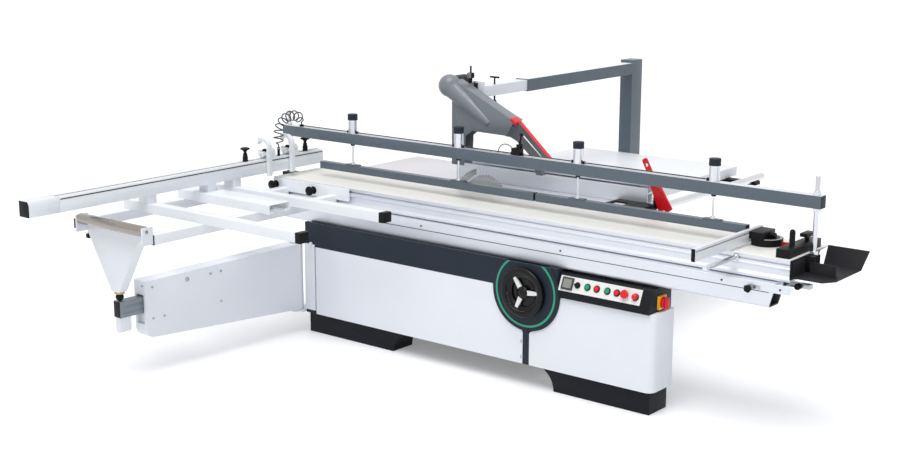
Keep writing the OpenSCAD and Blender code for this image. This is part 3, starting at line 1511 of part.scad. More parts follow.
// Hood outline in (X, Z) with an arched underside and two front arms
module hood_outline() {
  polygon([[hood_x0, hood_low], [hood_x0, port_z - 40], [port_x + 40, hood_top], [nose_x - 40, nose_z + 14],
    [nose_x, nose_z], [tip_x, tip_z], [tip_x + 6, hood_low + 40], [tip_x - 30, hood_low + 30], [tip_x - 42, tip_z - 4],
    [nose_x - 8, nose_z - 74], [nose_x + 6, nose_z - 96], [nose_x + 152, tip_z + 6], [nose_x + 168, hood_low],
    [nose_x + 130, hood_low], [nose_x + 104, tip_z - 6], [nose_x + 2, arch_z - 26], [nose_x - 60, arch_z],
    [hood_x0 + 138, arch_z + 4], [hood_x0 + 92, arch_z - 30], [hood_x0 + 84, hood_low]]);
}

module hood() {
  stem_x = [stem_x0, stem_x0 + stem_w];
  color([0.54, 0.56, 0.58]) difference() {
    union() {
      run_y([hood_y0, hood_y1]) hood_outline();
      translate([port_x, hood_y0 + 14, port_z]) rotate([0, 124, 0])
        cylinder(h = 330, d1 = port_d - 8, d2 = 46);
      translate([port_x, hood_y0 + 14, port_z]) sphere(d = port_d);
      rod_y(port_x, [hood_y0 + 14, hood_y1 + 70], port_z, port_d - 20);
      block(stem_x, [hood_y1 - eps, slider_y0 - 8 - slide_gap], [arm_z0 - 70, arm_z1 + 12]);
    }
    run_y([hood_y0 + hood_wall, hood_y1 - hood_wall])
      polygon([[hood_x0 + hood_wall, hood_low - eps], [hood_x0 + hood_wall, port_z - 60],
        [port_x + 70, hood_top - 60], [nose_x - 60, nose_z - 10], [nose_x - 10, nose_z - 30],
        [nose_x - 20, nose_z - 80], [nose_x - 20, arch_z - 60], [hood_x0 + 200, arch_z - 60],
        [hood_x0 + 200, hood_low - eps]]);
    rod_y(port_x, [hood_y0 + 20, hood_y1 + 71], port_z, port_d - 28);
  }
  color(black) {
    translate([stem_x[0] + stem_w / 2, hood_y1 + 12, arm_z1 + 11]) knob(56, 44);
    rod_z(stem_x[0] + stem_w / 2, hood_y1 + 12, [arm_z1 + 60, arm_z1 + 104], 10);
  }
}

// Saw unit

module tilt_cradle() {
  bar_y0 = column_y - cradle_bar_w / 2;
  bar_y1 = column_y + cradle_bar_w / 2;
  ends = [[cradle_x[0], cradle_x[0] + cradle_t], [cradle_x[1] - cradle_t, cradle_x[1]]];
  color(steel) difference() {
    union() {
      for (x = ends) {
        tilt_sector(x, sector_r, sector_a);
        block(x, [bar_y0 - 15, bar_y1 + 15], [cradle_low - 20, cradle_top]);
      }
      block([ends[0][0], ends[1][1]], [bar_y0, bar_y1], [cradle_low - 20, cradle_low]);
      for (x = [[ends[0][0], column_x[0] + 50], [column_x[1] - 50, ends[1][1]]])
        block(x, [bar_y0, bar_y1], [cradle_top - 15, cradle_top]);
      rod_y(scoring_x, [blade_t + flange_in + 1, bar_y0 + 10], scoring_z, 2 * scoring_housing_r);
      block([scoring_x - 18, scoring_x + 18], [blade_t + 30, bar_y1], [cradle_top - 24, cradle_top - 1]);
    }
    for (x = ends) tilt_sector([x[0] - eps, x[1] + eps],
      [trunnion_r - tongue_w / 2 - slide_gap, trunnion_r + tongue_w / 2 + slide_gap], groove_a);
    rod_y(scoring_x, [0, bar_y1 + eps], scoring_z, scoring_shaft_d + 2 * run_gap);
  }
  color(chrome) for (x = column_x) rod_z(x, column_y, [cradle_low - 1, cradle_top - 14], column_d);
}

module lift_slide() {
  color(iron) difference() {
    union() {
      for (x = column_x) block([x - 30, x + 30], [column_y - 25, plate_y[0] + eps], bush_z);
      block([column_x[0] - 30, column_x[1] + 30], plate_y, bush_z);
      block([blade_x - 95, blade_x + 95], plate_y, [motor_z - 80, arbor_z + 12]);
      rod_y(blade_x, housing_y, arbor_z, 2 * housing_r);
      block([column_x[0] - 30, column_x[0] + 12], [blade_t + 2, column_y - 24], [bush_z[0] + 30, bush_z[0] + 90]);
    }
    for (x = column_x) rod_z(x, column_y, [bush_z[0] - eps, bush_z[1] + eps], column_d + 2 * run_gap);
    rod_y(blade_x, [housing_y[0] - eps, plate_y[1] + eps], arbor_z, arbor_d + 2 * run_gap);
    rod_y(blade_x, [plate_y[0] - eps, plate_y[1] + eps], motor_z, 90);
  }
}

module motor() {
  foot_w = 120;
  color(blue_grey) difference() {
    union() {
      rod_y(blade_x, [motor_y0, motor_y0 + motor_l], motor_z, motor_d - 16);
      for (i = [0:2]) rod_y(blade_x, [motor_y0 + 30 + i * 70, motor_y0 + 70 + i * 70], motor_z, motor_d);
      for (side = [-1, 1]) block([blade_x + side * 78 - 12, blade_x + side * 78 + 12],
        [plate_y[1], motor_y0 + 20], [motor_z - 30, motor_z + 30]);
    }
    rod_y(blade_x, [motor_y0 - eps, motor_y0 + 60], motor_z, 30 + 2 * run_gap);
  }
}

module motor_pulley() {
  color(steel) {
    rod_y(blade_x, [belt_y[0] - 2, belt_y[1] + 2], motor_z, 2 * motor_pulley_r - 1);
    rod_y(blade_x, [belt_y[0] - 4, motor_y0 + 58], motor_z, 30);
  }
}

module saw_arbor() {
  color(steel) {
    rod_y(blade_x, [blade_t, belt_y[1] + 6], arbor_z, arbor_d);
    rod_y(blade_x, [blade_t, blade_t + flange_in], arbor_z, 2 * flange_r);
    rod_y(blade_x, [-9, 0], arbor_z, 2 * flange_r);
    rod_y(blade_x, [-nut_out, -8], arbor_z, 24);
    rod_y(blade_x, [-nut_out + 3, -9], arbor_z, 38);
    rod_y(blade_x, [-1, blade_t + 1], arbor_z, 30);
    rod_y(blade_x, [belt_y[0] - 2, belt_y[1] + 2], arbor_z, 2 * arbor_pulley_r - 1);
  }
}

// Toothed disc in (X, Z) with gullets between the teeth
module toothed_disc(d, teeth, depth) {
  r = d / 2;
  polygon([for (i = [0:teeth - 1]) for (k = [0:2])
    let (a = 360 * (i + [0, 0.18, 0.62][k]) / teeth, q = [r, r - depth * 0.15, r - depth][k])
    [q * cos(a), q * sin(a)]]);
}

module saw_blade() {
  color(steel) translate([blade_x, 0, arbor_z]) run_y([0, blade_t]) difference() {
    toothed_disc(blade_d, blade_teeth, 9);
    circle(d = 30 + 0.02);
  }
}

module drive_belt() {
  color(black) run_y(belt_y) translate([blade_x, 0]) difference() {
    belt_plan(belt_t);
    belt_plan(0.3);
  }
}

// Loop round the two pulleys, grown by a margin, drawn in (X, Z)
module belt_plan(grow) {
  big = motor_pulley_r + grow;
  small = arbor_pulley_r + grow;
  lean = asin((big - small) / belt_drop);
  union() {
    translate([0, motor_z]) circle(r = big);
    translate([0, arbor_z]) circle(r = small);
    polygon([[big * cos(lean), motor_z + big * sin(lean)], [small * cos(lean), arbor_z + small * sin(lean)],
      [-small * cos(lean), arbor_z + small * sin(lean)], [-big * cos(lean), motor_z + big * sin(lean)]]);
  }
}

module riving_knife() {
  stem_x = [column_x[0] - 24, column_x[0] + 6];
  stem_z = [bush_z[0] + 40, arbor_z + 40];
  knife_y = [(blade_t - knife_t) / 2, (blade_t + knife_t) / 2];
  color(steel) {
    run_y(knife_y) union() {
      intersection() {
        difference() {
          translate([blade_x - 18, arbor_z - 10]) circle(d = blade_d + 78);
          translate([blade_x, arbor_z]) circle(r = blade_d / 2 + knife_gap);
        }
        rect([blade_x - 240, blade_x - 66], [arbor_z + 10, table_z + knife_top]);
      }
      rect(stem_x, stem_z);
    }
    block(stem_x, [knife_y[1] - 0.2, blade_t + 2], [bush_z[0] + 40, bush_z[0] + 80]);
  }
}

module scoring_blade() {
  color(steel) {
    translate([scoring_x, 0, scoring_z]) run_y([0, blade_t]) toothed_disc(scoring_d, 24, 6);
    rod_y(scoring_x, [blade_t - 0.5, column_y + cradle_bar_w / 2 + 8], scoring_z, scoring_shaft_d);
    rod_y(scoring_x, [blade_t - 0.5, blade_t + flange_in], scoring_z, 40);
    rod_y(scoring_x, [-8, 0.5], scoring_z, 36);
  }
}

plinth();
front_frame();
left_panel();
right_panel();
wheel_ring();
control_box();
saw_body();
body_cover();
main_table();
rear_table();
side_table();
table_insert();
fixed_rail();
fence_bar();
guard_gantry();
arm_hinge();
carriage();
end_plates();
clamp_posts();
clamp_beam();
clamp_cylinders();
air_hose();
frame_tubes();
frame_knobs();
support_bracket();
cross_fence();
push_handle();
end_guard();
edge_shoe();
load_roller();
clamp_pads();
flip_stop_outer();
flip_stop_inner();
fence_extension();
mitre_fence();
swing_arm();
telescopic_tube();
rip_casting();
rip_fence();
push_stick();
arm_slider();
hood();
tilt_cradle();
lift_slide();
motor();
saw_arbor();
saw_blade();
riving_knife();
drive_belt();
motor_pulley();
scoring_blade();
handwheel();
start_saw();
stop_saw();
start_scoring();
stop_scoring();
emergency_stop();
selector_knob();
isolator_knob();
valve_lever();
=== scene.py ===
"""Dresses the solids of the sliding table saw; lengths are in millimetres unless a name says otherwise."""
import json
import math

import bmesh
import bpy
from mathutils import Matrix, Vector
from mathutils.geometry import tessellate_polygon


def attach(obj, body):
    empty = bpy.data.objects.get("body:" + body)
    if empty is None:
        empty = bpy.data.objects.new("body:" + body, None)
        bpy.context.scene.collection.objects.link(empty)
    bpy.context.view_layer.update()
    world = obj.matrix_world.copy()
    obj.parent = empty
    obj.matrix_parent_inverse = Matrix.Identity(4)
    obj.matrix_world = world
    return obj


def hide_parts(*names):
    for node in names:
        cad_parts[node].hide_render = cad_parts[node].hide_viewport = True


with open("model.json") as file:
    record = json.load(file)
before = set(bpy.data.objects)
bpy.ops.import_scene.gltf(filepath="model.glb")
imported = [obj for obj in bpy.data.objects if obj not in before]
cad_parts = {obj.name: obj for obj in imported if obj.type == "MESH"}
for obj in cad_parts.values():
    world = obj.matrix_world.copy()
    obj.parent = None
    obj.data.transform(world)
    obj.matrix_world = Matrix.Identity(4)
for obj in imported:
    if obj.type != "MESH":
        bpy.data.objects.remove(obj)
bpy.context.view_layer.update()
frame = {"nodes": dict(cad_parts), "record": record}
nodes = frame["nodes"]
body_of = {n: b for b, ns in frame["record"]["behaviour"]["bodies"].items() for n in ns}
MM = 0.001
link_object = bpy.context.scene.collection.objects.link

# Camera, fitted to the photograph
CAMERA_TURN = (38.785, 12.776, 0.136)  # yaw, pitch and roll in degrees
CAMERA_PLACE = Vector((4.3005, -6.1083, 2.3625))  # in metres
CAMERA_LENS = 57.41
SENSOR_WIDTH = 36
CLIP_END_M = 100


def make_camera():
    yaw, pitch, roll = (math.radians(a) for a in CAMERA_TURN)
    fwd = Vector((-math.sin(yaw) * math.cos(pitch), math.cos(yaw) * math.cos(pitch), -math.sin(pitch)))
    level = Vector((math.cos(yaw), math.sin(yaw), 0))
    plumb = level.cross(fwd)
    right = math.cos(roll) * level + math.sin(roll) * plumb
    up = -math.sin(roll) * level + math.cos(roll) * plumb
    place = Matrix((right, up, -fwd)).transposed().to_4x4()
    place.translation = CAMERA_PLACE
    data = bpy.data.cameras.new("camera")
    data.sensor_fit = "HORIZONTAL"
    data.sensor_width = SENSOR_WIDTH
    data.lens = CAMERA_LENS
    data.clip_end = CLIP_END_M
    cam = bpy.data.objects.new("camera", data)
    link_object(cam)
    cam.matrix_world = place
    bpy.context.scene.camera = cam


make_camera()

# Materials
NOISE_SPAN = {"From Min": 0.3, "From Max": 0.7}  # the part of a noise that holds most of its values
WEAR_SPAN = {"From Min": 0.54, "From Max": 0.66, "To Max": 0.5}  # pointiness at which an edge starts to wear
CLOUD, GRAIN = {"Detail": 6, "Roughness": 0.6}, {"Detail": 3}
WEAR_NOISE = 60
GRAIN_DEPTH_M = 0.0004
SMOOTHEST = 0.02


def node(nt, kind, values=None, links=None, **settings):
    """A shader node with its settings, input values and the outputs linked into it."""
    new = nt.nodes.new("ShaderNode" + kind)
    for name, value in settings.items():
        setattr(new, name, value)
    for name, value in (values or {}).items():
        new.inputs[name].default_value = value
    for name, output in (links or {}).items():
        nt.links.new(output, new.inputs[name])
    return new


def mat(name, base, rough, metal=0.0, vary=0.05, scale=5.0, streak=(1, 1, 1), grain=900.0, bump=0.05,
        coat=0.0, spec=0.5, wear=None, rough_vary=0.06, aniso=0.0, sheen=0.0):
    """Clouded colour and roughness with a fine grain, and edges rubbed to the wear colour."""
    m = bpy.data.materials.new(name)
    m.use_nodes = True
    nt = m.node_tree
    bsdf = nt.nodes["Principled BSDF"]
    at = node(nt, "TexCoord").outputs["Object"]
    along = node(nt, "Mapping", {"Scale": streak}, {"Vector": at}).outputs["Vector"]
    cloud = node(nt, "TexNoise", {"Scale": scale, **CLOUD}, {"Vector": along}).outputs["Fac"]
    share = node(nt, "MapRange", NOISE_SPAN, {"Value": cloud}).outputs["Result"]
    dim = [c * (1 - vary) for c in base] + [1]
    bright = [min(1.0, c * (1 + vary)) for c in base] + [1]
    colour = node(nt, "Mix", {"A": dim, "B": bright}, {"Factor": share}, data_type="RGBA").outputs["Result"]
    if wear:
        point = node(nt, "NewGeometry").outputs["Pointiness"]
        edge = node(nt, "MapRange", WEAR_SPAN, {"Value": point}).outputs["Result"]
        patchy = node(nt, "TexNoise", {"Scale": WEAR_NOISE}, {"Vector": at}).outputs["Fac"]
        rubbed = node(nt, "Math", links={0: edge, 1: patchy}, operation="MULTIPLY").outputs["Value"]
        colour = node(nt, "Mix", {"B": list(wear) + [1]}, {"Factor": rubbed, "A": colour},
                      data_type="RGBA").outputs["Result"]
    rough_span = {"To Min": max(SMOOTHEST, rough - rough_vary), "To Max": min(1.0, rough + rough_vary)}
    dull = node(nt, "MapRange", {**NOISE_SPAN, **rough_span}, {"Value": cloud}).outputs["Result"]
    fine = node(nt, "TexNoise", {"Scale": grain, **GRAIN}, {"Vector": along}).outputs["Fac"]
    depth = {"Strength": bump, "Distance": GRAIN_DEPTH_M}
    relief = node(nt, "Bump", depth, {"Height": fine}).outputs["Normal"]
    for socket, output in (("Base Color", colour), ("Roughness", dull), ("Normal", relief)):
        nt.links.new(output, bsdf.inputs[socket])
    bsdf.inputs["Metallic"].default_value = metal
    bsdf.inputs["Specular IOR Level"].default_value = spec
    bsdf.inputs["Coat Weight"].default_value = coat
    bsdf.inputs["Anisotropic"].default_value = aniso
    bsdf.inputs["Sheen Weight"].default_value = sheen
    return m


def lin(r, g, b):
    """Linear colour from an 8-bit screen colour."""
    return [((c / 255 + 0.055) / 1.055) ** 2.4 if c > 10 else c / 255 / 12.92 for c in (r, g, b)]


ALONG_X, ALONG_Y = (1.5, 60, 60), (60, 1.5, 60)  # stretch of the drawing lines on an extrusion
M = {
    "white": mat("white_powder_coat", lin(233, 236, 243), 0.42, vary=0.012, grain=1400, bump=0.06,
                 wear=lin(235, 237, 242)),
    "tube_white": mat("tube_white_enamel", lin(236, 239, 244), 0.38, vary=0.012, grain=1200, bump=0.05,
                      coat=0.2),
    "dark": mat("dark_powder_coat", lin(38, 46, 56), 0.5, vary=0.05, grain=1400, bump=0.07, spec=0.15,
                wear=lin(60, 68, 77)),
    "plinth": mat("black_powder_coat", lin(22, 25, 31), 0.5, vary=0.06, grain=1300, bump=0.08, spec=0.15,
                  wear=lin(45, 48, 54)),
    "beam": mat("blue_grey_enamel", lin(78, 91, 102), 0.4, vary=0.03, grain=1100, bump=0.06, coat=0.15,
                wear=lin(130, 142, 152)),
    "green": mat("green_enamel", lin(0, 150, 112), 0.35, vary=0.04, coat=0.3),
    "alu": mat("anodised_extrusion", lin(222, 226, 233), 0.36, metal=0.55, vary=0.03, streak=ALONG_X, scale=4,
               grain=40, bump=0.05, aniso=0.3),
    "alu_y": mat("anodised_extrusion_across", lin(232, 236, 242), 0.36, metal=0.2, vary=0.03, streak=ALONG_Y,
                 scale=4, grain=40, bump=0.05, aniso=0.3),
    "deck": mat("carriage_deck", lin(240, 239, 234), 0.42, metal=0.15, vary=0.02, streak=(1.2, 90, 90),
                scale=4, grain=50, bump=0.06, aniso=0.25),
    "table": mat("ground_iron_table", lin(214, 214, 221), 0.32, metal=0.55, vary=0.05, streak=(3, 140, 140),
                 scale=3, grain=60, bump=0.08, aniso=0.4),
    "iron": mat("cast_iron", lin(118, 121, 126), 0.55, metal=0.5, vary=0.1, scale=30, grain=500, bump=0.25),
    "steel": mat("machined_steel", lin(178, 181, 186), 0.28, metal=1.0, vary=0.06, scale=12, grain=300,
                 bump=0.04),
    "blade": mat("saw_blade_steel", lin(170, 173, 178), 0.24, metal=1.0, vary=0.05, scale=40, grain=800,
                 bump=0.06, aniso=0.5),
    "roller": mat("ground_roller", lin(158, 152, 144), 0.14, metal=1.0, vary=0.03, scale=20, grain=300,
                  bump=0.01, rough_vary=0.03),
    "chrome": mat("hard_chrome", lin(214, 216, 220), 0.1, metal=1.0, vary=0.03, scale=20, grain=300,
                  bump=0.01, rough_vary=0.03),
    "black": mat("black_moulded_plastic", lin(19, 19, 21), 0.42, vary=0.12, grain=1500, bump=0.18, spec=0.14,
                 wear=lin(42, 42, 44)),
    "black_gloss": mat("black_gloss_plastic", lin(12, 12, 14), 0.22, vary=0.1, spec=0.2, coat=0.05, grain=900,
                       bump=0.03),
    "tray": mat("black_tray_coat", lin(34, 34, 38), 0.5, vary=0.1, grain=1300, bump=0.1, spec=0.16,
                wear=lin(60, 60, 64)),
    "hood": mat("grey_moulded_hood", lin(114, 122, 128), 0.36, vary=0.035, scale=7, grain=900, bump=0.05,
                coat=0.25, wear=lin(170, 174, 178)),
    "hood_dark": mat("grey_hood_arm", lin(98, 103, 109), 0.4, vary=0.04, grain=900, bump=0.05, coat=0.2),
    "red": mat("red_moulded_plastic", lin(220, 20, 32), 0.3, vary=0.05, spec=0.35, coat=0.2, grain=700,
               bump=0.03),
    "button_green": mat("green_button", lin(0, 148, 110), 0.28, vary=0.05, spec=0.35, coat=0.2, grain=700,
                        bump=0.03),
    "yellow": mat("yellow_switch_plate", lin(240, 176, 20), 0.35, vary=0.04, coat=0.2, grain=1000, bump=0.05),
    "rubber": mat("black_rubber", lin(22, 22, 23), 0.62, vary=0.1, grain=1400, bump=0.2, sheen=0.15),
    "hose": mat("polyurethane_hose", lin(26, 27, 29), 0.3, vary=0.08, coat=0.3, grain=600, bump=0.05),
    "scope": mat("grey_telescopic_tube", lin(126, 134, 141), 0.35, metal=0.5, vary=0.04, streak=ALONG_Y,
                 scale=4, grain=50, bump=0.06),
    "display": mat("display_glass", lin(132, 134, 124), 0.15, vary=0.05, scale=30, coat=0.8, grain=200,
                   bump=0.01),
    "tan": mat("tan_nylon", lin(196, 168, 120), 0.45, vary=0.08, scale=40, grain=800, bump=0.12),
    "panel": mat("printed_panel_plate", lin(232, 233, 230), 0.35, vary=0.015, grain=1000, bump=0.03,
                 coat=0.2),
    # Dark steel grey: painted shade in the rail's pocket and the slider's slot; the display frame and the
    # rail screws take it too
    "pocket": mat("shadowed_steel", lin(58, 62, 68), 0.5, metal=0.3, vary=0.08, grain=800, bump=0.1),
}

# Mesh building
X, Y, Z = Vector((1, 0, 0)), Vector((0, 1, 0)), Vector((0, 0, 1))
SHARP = math.radians(40)  # a crease that stays sharp in the shading
CREASE, ROD_CREASE, SOLID_CREASE = 25, 40, 30  # degrees from which an edge is broken
EDGE_PROFILE = 0.6


def circle(count):
    """Unit points round the origin."""
    return [(math.cos(2 * math.pi * k / count), math.sin(2 * math.pi * k / count)) for k in range(count)]


def bezier(points, steps):
    """Points along a cubic curve given by its four control points."""
    line = []
    for i in range(steps + 1):
        t = i / steps
        w = [(1 - t) ** 3, 3 * t * (1 - t) ** 2, 3 * t * t * (1 - t), t ** 3]
        line.append((sum(a * q[0] for a, q in zip(w, points)), sum(a * q[1] for a, q in zip(w, points))))
    return line


def stand(base, axis):
    """Placement that puts the origin at base and the Z axis along axis."""
    return Matrix.Translation(Vector(base) * MM) @ Vector(axis).to_track_quat("Z", "Y").to_matrix().to_4x4()


def soften(t, bevel, limit, seg=2, **options):
    """Breaks the edges that are sharper than a limit in degrees."""
    if bevel:
        edges = [e for e in t.edges if len(e.link_faces) == 2 and e.calc_face_angle(0) > math.radians(limit)]
        bmesh.ops.bevel(t, geom=edges, offset=bevel * MM, segments=seg, profile=EDGE_PROFILE, affect="EDGES",
                        clamp_overlap=True, **options)


def bridge(t, rings, count):
    """Faces between neighbouring rings of vertices, of which one may be a single point."""
    for a, b in zip(rings, rings[1:]):
        for k in range(count):
            quad = [a[k % len(a)], a[(k + 1) % len(a)], b[(k + 1) % len(b)], b[k % len(b)]]
            corners = [v for i, v in enumerate(quad) if v not in quad[:i]]
            if len(corners) > 2:
                t.faces.new(corners)


def close_ends(t, rings):
    t.faces.new(list(reversed(rings[0])))
    t.faces.new(rings[-1])
    bmesh.ops.recalc_face_normals(t, faces=t.faces)


def show(name, t, mats, body):
    """Makes a piece of a finished mesh and lets it ride on its body."""
    me = bpy.data.meshes.new(name)
    t.to_mesh(me)
    t.free()
    for m in mats:
        me.materials.append(M[m])
    me.set_sharp_from_angle(angle=SHARP)
    ob = bpy.data.objects.new(name, me)
    link_object(ob)
    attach(ob, body)
    return ob


class Build:
    """One piece put together from simple shapes."""

    def __init__(self):
        self.bm = bmesh.new()
        self.mats = []

    def _add(self, t, m, place=None, turn=None):
        for matrix in (place, turn):
            if matrix is not None:
                t.transform(matrix)
        if m not in self.mats:
            self.mats.append(m)
        for f in t.faces:
            f.material_index = self.mats.index(m)
            f.smooth = True
        me = bpy.data.meshes.new("shape")
        t.to_mesh(me)
        t.free()
        self.bm.from_mesh(me)
        bpy.data.meshes.remove(me)

    def box(self, m, x, y, z, bevel=1.0, seg=2, turn=None):
        t = bmesh.new()
        bmesh.ops.create_cube(t, size=1)
        t.transform(Matrix.Diagonal(((x[1] - x[0]) * MM, (y[1] - y[0]) * MM, (z[1] - z[0]) * MM, 1)))
        soften(t, bevel, CREASE, seg)
        middle = Vector((x[0] + x[1], y[0] + y[1], z[0] + z[1])) * MM / 2
        self._add(t, m, Matrix.Translation(middle), turn)

    def rod(self, m, a, b, r, bevel=0.6, seg=32):
        a, b = Vector(a), Vector(b)
        t = bmesh.new()
        bmesh.ops.create_cone(t, cap_ends=True, segments=seg, radius1=r * MM, radius2=r * MM,
                              depth=(b - a).length * MM)
        soften(t, bevel, ROD_CREASE)
        self._add(t, m, stand((a + b) / 2, b - a))

    def lathe(self, m, profile, base, axis, seg=48, turn=None, closed=False):
        """Revolves (radius, height) points round an axis through base."""
        t = bmesh.new()
        rings = []
        for r, h in profile:
            points = [(r * MM * x, r * MM * y, h * MM) for x, y in circle(seg)] if r else [(0, 0, h * MM)]
            rings.append([t.verts.new(p) for p in points])
        bridge(t, rings + rings[:1] if closed else rings, seg)
        bmesh.ops.recalc_face_normals(t, faces=t.faces)
        self._add(t, m, stand(base, axis), turn)

    def tube(self, m, path, r, sides=12):
        """Round tube along a path."""
        t = bmesh.new()
        pts = [Vector(p) * MM for p in path]
        across = None
        rings = []
        for i, p in enumerate(pts):
            ahead = (pts[min(i + 1, len(pts) - 1)] - pts[max(i - 1, 0)]).normalized()
            across = across or ahead.orthogonal().normalized()
            across = (across - ahead * across.dot(ahead)).normalized()
            other = ahead.cross(across)
            rings.append([t.verts.new(p + r * MM * (x * across + y * other)) for x, y in circle(sides)])
        bridge(t, rings, sides)
        close_ends(t, rings)
        self._add(t, m)

    def plate(self, m, outline, holes, z, turn=None, bevel=0):
        """Flat plate with holes, drawn in a turned frame."""
        loops = [outline] + holes
        flat = [p for loop in loops for p in loop]
        t = bmesh.new()
        low, high = ([t.verts.new(Vector((*p, h)) * MM) for p in flat] for h in z)
        for f in tessellate_polygon([[Vector((*p, 0)) for p in loop] for loop in loops]):
            t.faces.new([low[i] for i in f])
            t.faces.new([high[i] for i in reversed(f)])
        start = 0
        for loop in loops:
            for i in range(len(loop)):
                j, k = start + i, start + (i + 1) % len(loop)
                t.faces.new((low[j], low[k], high[k], high[j]))
            start += len(loop)
        bmesh.ops.recalc_face_normals(t, faces=t.faces)
        soften(t, bevel, CREASE)
        self._add(t, m, turn)

    def screw(self, c, axis, r, h, m="steel", turn=None):
        """Cap screw head with a socket, sunk a little into its seat."""
        socket_r, socket_h, chamfer_r, chamfer_h, sunk = r * 0.45, h * 0.4, r * 0.86, h * 0.82, 0.5
        socket = [(0, socket_h), (socket_r, socket_h), (socket_r, h)]
        rim = [(chamfer_r, h), (r, chamfer_h), (r, -sunk), (0, -sunk)]
        self.lathe(m, socket + rim, c, axis, seg=12, turn=turn)

    def knob(self, m, c, axis, r, h, lobes=5):
        """Lobed hand knob on a boss."""
        boss = [(0.40, 0), (0.40, 0.35)]
        grip = [(0.72, 0.5), (0.97, 0.56), (1.0, 0.7), (0.96, 0.88), (0.80, 0.98)]
        crown = [(0.3, 1.0)]
        dent, count = 0.16, lobes * 8
        t = bmesh.new()
        rings = []
        for share, z in boss + grip + crown:
            depth = dent if (share, z) in grip else 0.0
            ring = []
            for k, (x, y) in enumerate(circle(count)):
                wave = 0.5 - 0.5 * math.cos(2 * math.pi * k * lobes / count)
                reach = r * MM * share * (1 - depth * wave)
                ring.append(t.verts.new((x * reach, y * reach, z * h * MM)))
            rings.append(ring)
        bridge(t, rings, count)
        close_ends(t, rings)
        self._add(t, m, stand(c, axis))

    def done(self, name, body):
        show(name, self.bm, self.mats, body)


# Dressing of the CAD solids
WELD_M, CUT_M = 2e-6, 1e-6
COPLANAR = math.radians(0.6)
FACING = 0.9  # cosine from which a face counts as facing along an axis
NEAR = 1.5  # how far off a surface or corner a face or vertex still belongs to it
SLACK = 0.5  # how far from a limit a face or vertex lies at least, so that rounding does not matter


def dress(name, m, bevel=1.2, seg=2, rules=(), shape=None):
    """The CAD solid with its edges broken by a bevel, and faces painted by where they lie."""
    t = bmesh.new()
    t.from_mesh(nodes[name].data)
    bmesh.ops.remove_doubles(t, verts=t.verts, dist=WELD_M)
    bmesh.ops.dissolve_limit(t, angle_limit=COPLANAR, verts=t.verts, edges=t.edges)
    if shape:
        shape(t)
    for f in t.faces:
        f.material_index = 0
        c = f.calc_center_median() / MM
        for i, (_, applies) in enumerate(rules):
            if applies(c, f.normal):
                f.material_index = i + 1
    soften(t, bevel, SOLID_CREASE, seg, material=-1)
    for f in t.faces:
        f.smooth = True
    ob = show(name + "_skin", t, [m] + [paint for paint, _ in rules], body_of[name])
    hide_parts(name)


def finish_node(name, m):
    """A CAD solid whose shape is right keeps its mesh and takes a material."""
    me = nodes[name].data
    me.materials.clear()
    me.materials.append(M[m])


def above(z):
    return lambda c, n: c.z > z


def top_above(z):
    return lambda c, n: n.z > FACING and c.z > z


# Base and cabinet
BELOW_TOP = 849  # just under the table tops
TABLE_RIM_Z = 800
ISOLATOR_PLATE_X = 952.5
GUIDE_WAY_Z = 744.2
RAIL_POCKET_Y, RAIL_POCKET_Z = (-430, -345), (637, 704.5)
FENCE_BAR_X, FENCE_BAR_Z, FENCE_BAR_R = 472, 815, 20
GUARD_ARM_Z, GUARD_POST_Y = 1411, 1560


def in_rail_pocket(c, n):
    return RAIL_POCKET_Y[0] < c.y < RAIL_POCKET_Y[1] and RAIL_POCKET_Z[0] < c.z < RAIL_POCKET_Z[1]


def on_fence_bar(c, n):
    off_axis = math.hypot(c.x - FENCE_BAR_X, c.z - FENCE_BAR_Z)
    on_end = abs(n.y) > FACING and c.z > FENCE_BAR_Z - FENCE_BAR_R + SLACK
    return abs(off_axis - FENCE_BAR_R) < NEAR or on_end


# Top faces of the guard arm, which take the pale aluminium colour as painted light from above
def guard_arm_lit_top(c, n):
    return n.z > FACING and c.z > GUARD_ARM_Z and c.y < GUARD_POST_Y


dress("plinth", "plinth", 3)
dress("front_frame", "dark", 1.5)
dress("left_panel", "white", 2.5, 3)
dress("right_panel", "white", 2.5, 3)
dress("wheel_ring", "green", 0.8)
dress("control_box", "plinth", 2.0, rules=[("yellow", lambda c, n: c.x > ISOLATOR_PLATE_X)])
dress("saw_body", "white", 3)
dress("body_cover", "white", 1.2)
dress("main_table", "table", 1.5, rules=[("iron", lambda c, n: c.z < TABLE_RIM_Z)])
dress("rear_table", "table", 1.5, rules=[("iron", lambda c, n: c.z < BELOW_TOP and abs(n.z) > 0.5)])
dress("side_table", "white", 2)
dress("table_insert", "alu", 0.8)
# Faces in the rail's pocket take the dark shadowed steel grey: painted shade
dress("fixed_rail", "alu", 1.5, rules=[("chrome", above(GUIDE_WAY_Z)), ("pocket", in_rail_pocket)])
dress("fence_bar", "black", 1.2, rules=[("chrome", on_fence_bar)])
# The guard arm's top faces take the pale aluminium colour: painted light from above
dress("guard_gantry", "beam", 2.0, rules=[("alu_y", guard_arm_lit_top)])
dress("arm_hinge", "white", 1.5)

# Carriage and clamp beam
BEAM_Y, BEAM_TOP_Z, BEAM_END_X = -213, 1117, 1600
CYL_FIRST_X, CYL_STEP, CYL_COUNT = -1161, 758, 4
CYL_X = [CYL_FIRST_X + CYL_STEP * i for i in range(CYL_COUNT)]
CYL_CAP_Z = 1194.5
VALVE_X, VALVE_REACH = -20, 60
dress("carriage", "alu", 1.0, rules=[("deck", top_above(BELOW_TOP))])
dress("end_plates", "black", 1.5)
dress("clamp_posts", "chrome", 0.8)
